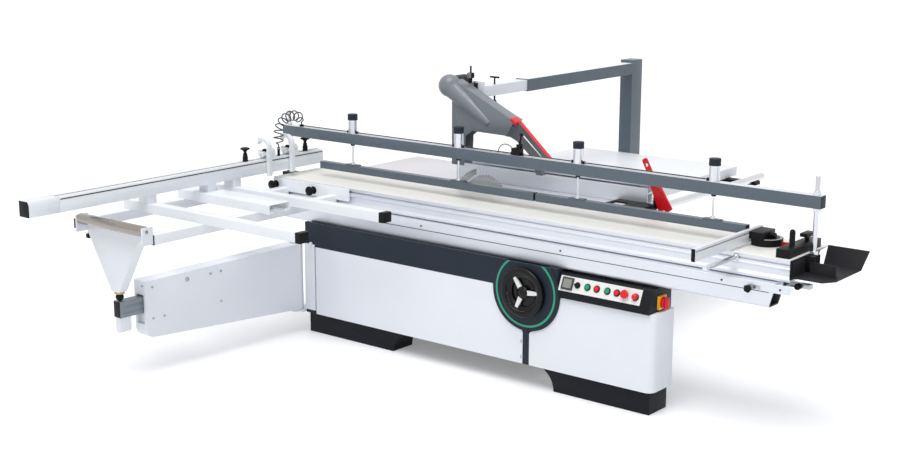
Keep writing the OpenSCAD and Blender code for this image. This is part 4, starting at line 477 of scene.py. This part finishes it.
# The beam's top faces take the pale aluminium colour: painted light from above on the blue-grey beam
dress("clamp_beam", "beam", 2.0, rules=[
    ("alu", top_above(BEAM_TOP_Z)),
    ("dark", lambda c, n: abs(n.x) > FACING and abs(c.x) > BEAM_END_X)])
dress("clamp_cylinders", "dark", 0.8, rules=[
    ("chrome", lambda c, n: c.z < CYL_CAP_Z and abs(c.x - VALVE_X) > VALVE_REACH),
    ("black", lambda c, n: abs(c.x - VALVE_X) < VALVE_REACH)])
dress("push_handle", "chrome", 0.8)
dress("end_guard", "tray", 1.0)
dress("edge_shoe", "black", 1.5)

# Crosscut frame and fence, with the hand knobs in their moulded form
FENCE_X, FENCE_SLOT_HALF, FENCE_SLOT_Z = -1572, 5.5, (963, 971.5)
FENCE_KNOBS = [(Vector((FENCE_X, y, 1010)), Z, 42) for y in (-650, -178)]  # (foot, axis, height)
MOUNT_KNOBS = [(Vector((x, -407, 808)), -Y, 46) for x in (-1582, -1286)]
KNOB_REACH, KNOB_SEAT_R = 29, 14
KNOB_DRAWN_H = 43
KNOB_PROFILE = [(0, -2), (13, -2), (12, 4), (8.5, 11), (8.5, 17), (13, 24), (21, 29), (26.5, 31), (27, 34),
                (25, 38), (18, 41), (8, 42.5), (0, KNOB_DRAWN_H)]
KNOB_WASHER_R, KNOB_WASHER_HALF = 22, 1.5
KNOB_SOCKET = [(0, -38), (15, -38), (15, -12), (13, -8), (10, 1), (0, 1)]
BALL, BALL_R = Vector((-1432, -1665, 431.5)), 21.8
BALL_COLLAR_Z, BALL_COLLAR_R = (448.3, 460), 27


def drop_knobs(t):
    """Takes out the plain hand knobs."""
    gone = []
    for v in t.verts:
        for c, axis, h in FENCE_KNOBS + MOUNT_KNOBS:
            d = v.co / MM - c
            along = d.dot(axis)
            off_axis = (d - along * axis).length
            on_seat = axis.z and along < SLACK and off_axis > KNOB_SEAT_R
            if -SLACK < along < h + SLACK and off_axis < KNOB_REACH and not on_seat:
                gone.append(v)
                break
    bmesh.ops.delete(t, geom=gone, context="VERTS")


def on_collar(c, n):
    off_axis = math.hypot(c.x - BALL.x, c.y - BALL.y)
    return BALL_COLLAR_Z[0] < c.z < BALL_COLLAR_Z[1] and off_axis < BALL_COLLAR_R


dress("frame_tubes", "tube_white", 2.0)
dress("frame_knobs", "black", 1.2, shape=drop_knobs)
b = Build()
for c, axis, h in FENCE_KNOBS + MOUNT_KNOBS:
    b.lathe("black", [(r, z * h / KNOB_DRAWN_H) for r, z in KNOB_PROFILE], c, axis, seg=40)
    if axis.z:
        b.lathe("black", KNOB_SOCKET, c, axis, seg=24)
    else:
        b.rod("black", c + KNOB_WASHER_HALF * Y, c - KNOB_WASHER_HALF * Y, KNOB_WASHER_R, bevel=0.5)
b.done("hand_knobs", body_of["frame_knobs"])
dress("support_bracket", "white", 1.2, rules=[
    ("black", lambda c, n: (c - BALL).length < BALL_R), ("tan", on_collar)])
# Faces inside the slot on the fence's top are painted black: painted shade in the slot
dress("cross_fence", "alu_y", 1.0, rules=[
    ("black", lambda c, n: abs(c.x - FENCE_X) < FENCE_SLOT_HALF and FENCE_SLOT_Z[0] < c.z < FENCE_SLOT_Z[1])])

# Moving pieces
PAD_ROD_Z, PAD_END_Z = 944, 938
EXTENSION_CAP_Y = -2089
MITRE_CAP_X, MITRE_CAP_Y = 1319.5, -729.5
TUBE_CAP_Y, TUBE_BOTTOM_Z = -1672, 326
SLIDER_SCREW_Y, SLIDER_Z = (150, 240), (1349, 1408)


def on_slider_screw(c, n):
    return SLIDER_SCREW_Y[0] < c.y < SLIDER_SCREW_Y[1] and not SLIDER_Z[0] <= c.z <= SLIDER_Z[1]


dress("load_roller", "roller", 1.0)
dress("clamp_pads", "beam", 1.5, rules=[
    ("chrome", above(PAD_ROD_Z)), ("black", lambda c, n: abs(n.x) > FACING and c.z < PAD_END_Z)])
dress("flip_stop_outer", "tube_white", 2.0)
dress("flip_stop_inner", "tube_white", 2.0)
dress("fence_extension", "alu_y", 1.0, rules=[("black", lambda c, n: c.y < EXTENSION_CAP_Y)])
dress("mitre_fence", "alu_y", 1.0, rules=[("black", lambda c, n: c.x > MITRE_CAP_X or c.y < MITRE_CAP_Y)])
dress("swing_arm", "white", 2.5, 3)
dress("telescopic_tube", "scope", 1.2, rules=[
    ("black", lambda c, n: c.y < TUBE_CAP_Y and c.z > TUBE_BOTTOM_Z + SLACK),
    ("white", lambda c, n: c.z < TUBE_BOTTOM_Z - SLACK)])
dress("rip_casting", "black", 1.5)
dress("rip_fence", "alu", 1.0)
dress("push_stick", "red", 2.0, 3)
dress("arm_slider", "white", 1.2, rules=[("black", on_slider_screw)])

# Guard hood, whose two front arms run down from its nose
HOOD_MID_Y = 1.6
ARM_ROOT, ARM_AHEAD = Vector((-176, 0, 1258)), Vector((0.861, 0, -0.509))
ARM_TAPER, ARM_WIDTH_SHARE = 12, 0.42
ARM_CORNERS = [((-180, 1188), (-138, 1197)), ((-166, 1166), (-150, 1174)),
               ((0, 1072), (18, 1064)), ((-20, 1082), (-26, 1073))]  # (x, z) in the solid, and as drawn
RED_EDGE, RED_EDGE_UP, RED_EDGE_X = Vector((-172, 0, 1262)), Vector((0.657, 0, 0.756)), -165
RED_FACING, RED_DEPTH = 0.97, 4
HOOD_CLAMP_Y, HOOD_CLAMP_X, HOOD_TOP_Z = 40, -563, 1425


def thin_arms(t):
    """Draws the arms in from the sides, beyond the line where they join the hood, and moves their corners."""
    for step in (0, ARM_TAPER):
        bmesh.ops.bisect_plane(t, geom=t.verts[:] + t.edges[:] + t.faces[:], dist=CUT_M,
                               plane_co=(ARM_ROOT + ARM_AHEAD * step) * MM, plane_no=ARM_AHEAD)
    for v in t.verts:
        if (v.co / MM - ARM_ROOT).dot(ARM_AHEAD) > ARM_TAPER - SLACK:
            v.co.y = HOOD_MID_Y * MM + (v.co.y - HOOD_MID_Y * MM) * ARM_WIDTH_SHARE
        for old, new in ARM_CORNERS:
            if math.hypot(v.co.x / MM - old[0], v.co.z / MM - old[1]) < NEAR:
                v.co.x, v.co.z = new[0] * MM, new[1] * MM


def on_arm(c, n):
    return (c - ARM_ROOT).dot(ARM_AHEAD) > SLACK


def on_red_edge(c, n):
    height = (c - RED_EDGE).dot(RED_EDGE_UP)
    return n.dot(RED_EDGE_UP) > RED_FACING and c.x > RED_EDGE_X and height > -RED_DEPTH


def on_hood_clamp(c, n):
    block = c.y > HOOD_CLAMP_Y + SLACK and c.x > HOOD_CLAMP_X and c.z < HOOD_TOP_Z + SLACK
    return block or c.z > HOOD_TOP_Z - SLACK and c.y > HOOD_CLAMP_Y


dress("hood", "hood", 2.0, shape=thin_arms, rules=[
    ("hood_dark", on_arm), ("red", on_red_edge), ("black", on_hood_clamp)])

# Handwheel, with its dished web, rim and cap
WHEEL = Vector((240, -490.5, 497))
SPOKE_R, SPOKE_Y = (33, 100), (-515, -500)
WHEEL_WEB = [(17, 6), (60, 3), (98, 7), (104, 7), (104, 1), (17, 1)]
WHEEL_RIM = [(72, 12), (76, 17), (90, 23), (104, 26), (104, 8), (80, 8)]
WHEEL_CAP = [(0, 35), (8, 34.6), (17, 32), (22, 27), (22, 20), (0, 20)]


def on_spoke_glint(c, n):
    off_axis = math.hypot(c.x - WHEEL.x, c.z - WHEEL.z)
    return SPOKE_R[0] < off_axis < SPOKE_R[1] and SPOKE_Y[0] < c.y < SPOKE_Y[1]


# The spokes take the pale panel grey: painted glints, the bright reflections on the spokes of the black gloss
# wheel
dress("handwheel", "black_gloss", 1.0, rules=[("panel", on_spoke_glint)])
b = Build()
b.lathe("black_gloss", WHEEL_WEB, WHEEL, -Y, seg=64, closed=True)
b.lathe("black_gloss", WHEEL_RIM, WHEEL, -Y, seg=64, closed=True)
b.lathe("black_gloss", WHEEL_CAP, WHEEL, -Y, seg=40)
b.done("wheel_dish", body_of["handwheel"])

# Saw unit inside, and the controls
for name, m in (("tilt_cradle", "iron"), ("lift_slide", "iron"), ("motor", "beam"), ("saw_arbor", "steel"),
                ("saw_blade", "blade"), ("riving_knife", "steel"), ("drive_belt", "rubber"),
                ("motor_pulley", "steel"), ("scoring_blade", "steel")):
    finish_node(name, m)
for name, m in (("start_saw", "button_green"), ("stop_saw", "red"), ("start_scoring", "button_green"),
                ("stop_scoring", "red"), ("emergency_stop", "red"), ("selector_knob", "black_gloss"),
                ("isolator_knob", "red"), ("valve_lever", "black")):
    dress(name, m, 1.0)

# Curly air hose: the same curls as the solid, drawn finer
HOSE_X, HOSE_D = -1562, 7
HOSE_START, HOSE_END = Vector((BEAM_Y, 1131)), Vector((-401, 1022))  # (y, z)
HOSE_STRAIGHT = 1.4 * HOSE_D  # before the first curl and after the last
HOSE_ROUNDNESS = 4
CURLS, CURL_R, CURL_STEPS, CURL_FADE = 10, 27, 24, 0.85
ARCH_RISE, ARCH_REACH, ARCH_FALL, ARCH_STEPS = 76, 96, 60, 40
AIM = 4  # how far before and after a point its direction on the arch is taken


def hose_route():
    """Centre line that curls round an arch from the beam's end down to the fence."""
    y0, z0, y1 = *HOSE_START, HOSE_END.x
    pulls = [(y0, z0 + HOSE_D), (y0, z0 + ARCH_RISE), (y1, z0 + ARCH_REACH), (y1, z0 - ARCH_FALL)]
    line = [HOSE_START] + [Vector(p) for p in bezier(pulls, ARCH_STEPS)] + [HOSE_END]
    run = [0.0]
    for a, b in zip(line, line[1:]):
        run.append(run[-1] + (b - a).length)

    def on_arch(s):
        s = min(max(s, 0), run[-1])
        i = next((i for i in range(1, len(run)) if s <= run[i]), len(run) - 1)
        return line[i - 1].lerp(line[i], (s - run[i - 1]) / (run[i] - run[i - 1]))

    pts = [Vector((HOSE_X, y0, z0)), Vector((HOSE_X, y0, z0 + HOSE_D))]
    for i in range(CURLS * CURL_STEPS + 1):
        u = i / CURL_STEPS
        s = HOSE_STRAIGHT + (run[-1] - 2 * HOSE_STRAIGHT) * u / CURLS
        c, ahead = on_arch(s), (on_arch(s + AIM) - on_arch(s - AIM)).normalized()
        r = CURL_R * min(1, min(u, CURLS - u) / CURL_FADE)
        side, out = r * math.sin(2 * math.pi * u), r * math.cos(2 * math.pi * u)
        pts.append(Vector((HOSE_X + side, c.x - ahead.y * out, c.y + ahead.x * out)))
    return pts + [Vector((HOSE_X, y1, HOSE_END.y + HOSE_D)), Vector((HOSE_X, *HOSE_END))]


def curve_tube(name, pts, r, m, body):
    """Round tube along points, kept as a curve."""
    cu = bpy.data.curves.new(name, "CURVE")
    cu.dimensions = "3D"
    cu.bevel_depth = r * MM
    cu.bevel_resolution = HOSE_ROUNDNESS
    cu.use_fill_caps = True
    sp = cu.splines.new("POLY")
    sp.points.add(len(pts) - 1)
    for p, q in zip(sp.points, pts):
        p.co = (*(q * MM), 1)
    cu.materials.append(M[m])
    ob = bpy.data.objects.new(name, cu)
    link_object(ob)
    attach(ob, body)
    return ob


route = hose_route()
hose = curve_tube("curly_hose", route, HOSE_D / 2, "hose", "sliding_table")
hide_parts("air_hose")

# Air line along the beam, with a fitting where it meets the hose, each cylinder and the valve
LINE_Z, LINE_R = 1125, 3
CYL_HALF, VALVE_HALF = 25.3, 26.3
STATIONS = [(-1554, 0), (CYL_X[0], CYL_HALF), (CYL_X[1], CYL_HALF), (VALVE_X, VALVE_HALF),
            (CYL_X[2], CYL_HALF), (CYL_X[3], CYL_HALF)]  # (x, half width)
FITTING_L, FITTING_Y, FITTING_Z = 14, (BEAM_Y - 6, BEAM_Y + 6), (1119, 1132)
COLLAR_L, COLLAR_R = 4, 5
TURN_BLOCK = ((HOSE_X - 9, HOSE_X + 9), (BEAM_Y - 9, BEAM_Y + 9), (1119, 1131))
STEM_Z, STEM_R, NUT_Z, NUT_R = (972, 1022), 8, (1012, 1019), 9.5
b = Build()
for i, ((left, left_half), (right, right_half)) in enumerate(zip(STATIONS, STATIONS[1:])):
    lo, hi = left + left_half, right - right_half
    b.rod("hose", (lo, BEAM_Y, LINE_Z), (hi, BEAM_Y, LINE_Z), LINE_R, seg=16, bevel=0)
    for x, way in [(hi, -1)] + ([(lo, 1)] if i else []):
        out = x + FITTING_L * way
        b.box("black", sorted((x, out)), FITTING_Y, FITTING_Z, bevel=1.2)
        end = out + COLLAR_L * way
        b.rod("steel", (out, BEAM_Y, LINE_Z), (end, BEAM_Y, LINE_Z), COLLAR_R, seg=6, bevel=0.3)
b.box("black", *TURN_BLOCK, bevel=1.5)
b.rod("black", *((HOSE_X, HOSE_END.x, z) for z in STEM_Z), STEM_R, bevel=1)
b.rod("steel", *((HOSE_X, HOSE_END.x, z) for z in NUT_Z), NUT_R, seg=6, bevel=0.4)
b.done("air_line", "sliding_table")

# Control plate, display, bezels and lamp, drawn flat and turned onto the slanted face
FACE_FOOT, FACE_RISE, FACE_DEPTH = Vector((0, -490.5, 530)), 82, 36
FACE = Matrix.Translation(FACE_FOOT * MM) @ Matrix.Rotation(math.atan2(FACE_RISE, FACE_DEPTH), 4, "X")
PLATE = [(436, 11), (897, 11), (897, 87), (436, 87)]
SELECTOR_X, BUTTON_X, MUSHROOM_X = 540, [597, 650, 710, 763], 813
ROW_Y, HOLE_R, HOLE_SIDES = 50.15, 13.4, 28
PLATE_Z = (0, 0.8)
BEZEL = [(13.3, 0.6), (13.3, 4.0), (14.2, 4.8), (16.6, 4.8), (17.6, 3.8), (17.6, 0.6)]
DISPLAY_FRAME, DISPLAY = ((450, 515), (19, 81), (0.6, 7)), ((459, 506), (28, 72), (6, 7.8))
LAMP = (867, 47.5, 0)
LAMP_BASE = [(0, 0.6), (18, 0.6), (18, 4.5), (16, 5.5), (0, 5.5)]
LAMP_DOME = [(0, 5), (15, 5), (15, 12), (13.4, 18), (9.5, 22), (4.5, 24), (0, 24.5)]


def hole(x):
    return [(x + HOLE_R * u, ROW_Y + HOLE_R * v) for u, v in circle(HOLE_SIDES)]


b = Build()
b.plate("panel", PLATE, [hole(x) for x in [SELECTOR_X, *BUTTON_X, MUSHROOM_X]], PLATE_Z, FACE)
for x in BUTTON_X:
    b.lathe("black", BEZEL, (x, ROW_Y, 0), Z, turn=FACE, closed=True)
b.box("pocket", *DISPLAY_FRAME, bevel=2, turn=FACE)
b.box("display", *DISPLAY, bevel=0.8, turn=FACE)
b.lathe("black", LAMP_BASE, LAMP, Z, turn=FACE)
b.lathe("red", LAMP_DOME, LAMP, Z, turn=FACE)
b.done("control_plate", body_of["control_box"])

# Screws, painted shadow line, clamp knob and end stop of the rail
RAIL_FRONT_Y = -440
RAIL_SCREW_X, RAIL_SCREW_Z = (-473, 414, 1294, 1581), 723
RAIL_KNOB = (1434, RAIL_FRONT_Y, 710)
RAIL_TAG = ((1452, 1486), (RAIL_FRONT_Y - 2, RAIL_FRONT_Y + 0.5), (708, 727))
RAIL_SHADOW_LINE = ((-1555, 1526), (-437.7, -436.5), (700.5, 704))
STOP_BAR = ((1540, 1664), (-318, -284), (712, 734))
STOP_BUFFER = ((1612, -318, 722), (1612, -340, 722))
b = Build()
for x in RAIL_SCREW_X:
    b.screw((x, RAIL_FRONT_Y, RAIL_SCREW_Z), -Y, r=5, h=3, m="pocket")
b.knob("black", RAIL_KNOB, -Y, r=19, h=30)
b.box("steel", *RAIL_TAG, bevel=1)
# A thin black strip where the fascia meets the box below it: painted shadow line
b.box("black", *RAIL_SHADOW_LINE, bevel=0)
b.box("steel", *STOP_BAR, bevel=2)
b.rod("black", *STOP_BUFFER, r=15, bevel=3)
b.done("rail_fittings", body_of["fixed_rail"])

# Scale along the fence, and the pivots of its flip stops
SCALE_X, SCALE_Y, SCALE_Z = (-1560, -1544), (-1915, -75), (971.6, 972.4)
TICK_Y0, TICK_STEP, TICKS, TICK_HALF, TICK_Z = -1905, 10, 183, 0.6, (972, 972.6)
SHORT_TICK_X, LONG_TICK_X, LONG_EVERY = -1554, -1548, 5
FENCE_LINE_X, FENCE_LINE_Z = (-1532.4, -1531.4), (957, 962)
STOP_Y, STOP_PIVOT_Z, STOP_PIVOT_R, STOP_PIVOT_SPAN = (-517, -337), 1002, 22.8, (14.2, 20)
STOP_SCREW_Y, STOP_SCREW_Z = 47, 1024
b = Build()
b.box("panel", SCALE_X, SCALE_Y, SCALE_Z, bevel=0.2)
for i in range(TICKS):
    y = TICK_Y0 + TICK_STEP * i
    tick_x = (SCALE_X[0], SHORT_TICK_X if i % LONG_EVERY else LONG_TICK_X)
    b.box("black", tick_x, (y - TICK_HALF, y + TICK_HALF), TICK_Z, bevel=0)
b.box("black", FENCE_LINE_X, SCALE_Y, FENCE_LINE_Z, bevel=0)
for y in STOP_Y:
    b.rod("black", *((FENCE_X, y + d, STOP_PIVOT_Z) for d in STOP_PIVOT_SPAN), STOP_PIVOT_R, bevel=1)
    b.screw((FENCE_X, y + STOP_SCREW_Y, STOP_SCREW_Z), Z, r=5, h=3)
b.done("fence_scale", body_of["cross_fence"])

# Mitre scale on the quadrant, and its pointer on the deck
MITRE = Vector((1369, -165, 0))
MITRE_R, MITRE_SPREAD, MITRE_STEPS, MITRE_Z = (62, 73), 0.82, 24, (882.9, 883.5)
MARKS, MARK_SPREAD, MARK_Y, MARK_Z = 30, 0.8, (-0.5, 0.5), (883.3, 883.8)
SHORT_MARK_R, LONG_MARK_R = 66, 63
POINTER = [(1447, -165), (1474, -178), (1474, -152)]
POINTER_Z = (850, 872)


def fan(k, steps, spread):
    """Angle of a step in a half turn that is centred on X and narrowed to a share."""
    return math.pi * (k / steps - 0.5) * spread


b = Build()
arcs = [[(MITRE.x + r * math.cos(way * a), MITRE.y + r * math.sin(way * a))
         for a in (fan(k, MITRE_STEPS, MITRE_SPREAD) for k in range(MITRE_STEPS + 1))]
        for r, way in ((MITRE_R[1], 1), (MITRE_R[0], -1))]
b.plate("panel", arcs[0] + arcs[1], [], MITRE_Z)
for k in range(MARKS + 1):
    turn = Matrix.Translation(MITRE * MM) @ Matrix.Rotation(fan(k, MARKS, MARK_SPREAD), 4, "Z")
    mark_r = (SHORT_MARK_R if k % LONG_EVERY else LONG_MARK_R, MITRE_R[1])
    b.box("black", mark_r, MARK_Y, MARK_Z, bevel=0, turn=turn)
b.done("mitre_scale", body_of["mitre_fence"])
b = Build()
b.plate("red", POINTER, [], POINTER_Z, bevel=1.5)
b.done("mitre_pointer", body_of["carriage"])

# Bolts on the swing arm, set in its own turned frame
SWING_PIVOT, SWING_TURN = Vector((-1345, -507, 0)), math.radians(-4.3)
SWING = Matrix.Translation(SWING_PIVOT * MM) @ Matrix.Rotation(SWING_TURN, 4, "Z")
SWING_HALF = 47.5
SWING_BOLTS = [(997, 458), (626, 461), (559, 463), (562, 299), (998, 293), (930, 293)]  # (distance, z)
BIG_BOLT, END_BOLT = (SWING_HALF, -778, 459), (24, -1041, 468)
b = Build()
for d, z in SWING_BOLTS:
    for way in (1, -1):
        b.screw((way * SWING_HALF, -d, z), way * X, r=7, h=3, turn=SWING)
b.screw(BIG_BOLT, X, r=12, h=5, turn=SWING)
b.screw(END_BOLT, -Y, r=6, h=3, turn=SWING)
b.done("swing_bolts", body_of["swing_arm"])

# Nuts under the beam and the hose loop at the valve
ROD_NUT = [(6.2, 1049), (12, 1049), (14, 1053), (14, 1061.5), (6.2, 1061.5)]
LOOP_PULLS = [(-136, 1122), (-130, 1182), (-62, 1180), (-40, 1146)]  # (x, z)
LOOP_STEPS, LOOP_Y, LOOP_R = 24, -222, 2.6
b = Build()
for x in CYL_X:
    b.lathe("dark", ROD_NUT, (x, BEAM_Y, 0), Z, seg=6, closed=True)
b.tube("hose", [(x, LOOP_Y, z) for x, z in bezier(LOOP_PULLS, LOOP_STEPS)], LOOP_R)
b.done("beam_fittings", "sliding_table")

# Hinges of the left front panel
HINGE_X, HINGE_Y, HINGE_Z, HINGE_HALF = 212, -478, (155, 234), 9
b = Build()
for z in HINGE_Z:
    b.rod("steel", *((HINGE_X, HINGE_Y, z + d) for d in (-HINGE_HALF, HINGE_HALF)), r=3, bevel=0.8, seg=16)
b.done("panel_hinges", body_of["left_panel"])

# Nose and moulding lines of the hood
NOSE_PLACE, NOSE_TURN = Vector((-178, 0, 1259)), math.radians(36)
NOSE = Matrix.Translation(NOSE_PLACE * MM) @ Matrix.Rotation(NOSE_TURN, 4, "Y")
NOSE_BLOCK = ((-20, 22), (-38, 16), (-14, 8))
SEAM_Y, SEAM = -36.4, ((-177, 1252), (-218, 1178))
RIB_Y, RIB_COUNT = -36.2, 6
RIB_FOOT, RIB_FOOT_STEP = Vector((-572, 1165)), Vector((13, 0))  # (x, z)
RIB_TIP, RIB_TIP_STEP = Vector((-574, 1300)), Vector((5, -12))
b = Build()
b.box("red", *NOSE_BLOCK, bevel=6, seg=3, turn=NOSE)
b.rod("hood_dark", *((x, SEAM_Y, z) for x, z in SEAM), r=1.6, bevel=0, seg=8)
for i in range(RIB_COUNT):
    ends = (RIB_FOOT + i * RIB_FOOT_STEP, RIB_TIP + i * RIB_TIP_STEP)
    b.rod("hood", *((x, RIB_Y, z) for x, z in ends), r=1.8, bevel=0, seg=8)
b.done("hood_trim", body_of["hood"])

# Screw on the side of the guard slider, and a thin dark box for its slot as painted shade
SLIDER_SCREW = (-464.4, 411, 1376)
SLIDER_SLOT_SHADE = ((-464.6, -463.4), (175, 185), (1372, 1390))
b = Build()
b.screw(SLIDER_SCREW, X, r=9, h=2, m="black")
# The slot is a thin dark box in the shadowed steel grey: painted shade
b.box("pocket", *SLIDER_SLOT_SHADE, bevel=0.3)
b.done("slider_marks", body_of["arm_slider"])

# Floor and light: the lamps are plain, and what camera and mirrors see of the surround is lifted to white
FLOOR_HALF_M = 40
FLOOR_LIFT = (0.0, 0.22)  # emission for other rays, and for those that see the surround
WORLD_LIGHT = (0.44, 1.0)
WHITE = (1, 1, 1, 1)
SUN_STRENGTH, SUN_ANGLE, SUN_AIM = 1.75, math.radians(40), Vector((-0.12, 0.36, -0.92))


def seen(nt, low, high):
    """Value for ordinary bounces, raised for camera, glossy and transmission rays."""
    path = node(nt, "LightPath")
    rays = path.outputs["Is Camera Ray"]
    for name in ("Is Glossy Ray", "Is Transmission Ray"):
        rays = node(nt, "Math", links={0: rays, 1: path.outputs[name]}, operation="MAXIMUM").outputs["Value"]
    return node(nt, "MapRange", {"To Min": low, "To Max": high}, {"Value": rays}).outputs["Result"]


pale = mat("pale_floor", lin(240, 241, 244), 0.6, vary=0.004, scale=0.6, grain=60, bump=0.02)
shader = pale.node_tree.nodes["Principled BSDF"]
shader.inputs["Emission Color"].default_value = WHITE
pale.node_tree.links.new(seen(pale.node_tree, *FLOOR_LIFT), shader.inputs["Emission Strength"])
me = bpy.data.meshes.new("floor")
corners = [(x * FLOOR_HALF_M, y * FLOOR_HALF_M, 0) for x, y in ((-1, -1), (1, -1), (1, 1), (-1, 1))]
me.from_pydata(corners, [], [(0, 1, 2, 3)])
me.materials.append(pale)
floor = bpy.data.objects.new("floor", me)
link_object(floor)


def lamp(name, kind, energy, place, aim):
    data = bpy.data.lights.new(name, kind)
    data.energy = energy
    ob = bpy.data.objects.new(name, data)
    link_object(ob)
    ob.matrix_world = Matrix.Translation(place) @ aim.to_track_quat("-Z", "Y").to_matrix().to_4x4()
    return data


def area(name, place, target, size, power):
    """Rectangular lamp; place, target and size in metres."""
    data = lamp(name, "AREA", power, place, Vector(target) - Vector(place))
    data.shape = "RECTANGLE"
    data.size, data.size_y = size


area("key", place=(2.2, -7.5, 5.0), target=(-0.2, -0.3, 0.6), size=(5, 4), power=60)
area("top", place=(0.0, 0.5, 7.0), target=(0, 0, 0.8), size=(7, 6), power=100)
sun = lamp("sun", "SUN", SUN_STRENGTH, (0, 0, 0), SUN_AIM)
sun.angle = SUN_ANGLE
world = bpy.data.worlds.new("studio")
world.use_nodes = True
sky = world.node_tree.nodes["Background"]
sky.inputs["Color"].default_value = WHITE
world.node_tree.links.new(seen(world.node_tree, *WORLD_LIGHT), sky.inputs["Strength"])
bpy.context.scene.world = world
bpy.context.scene.view_settings.view_transform = "Standard"
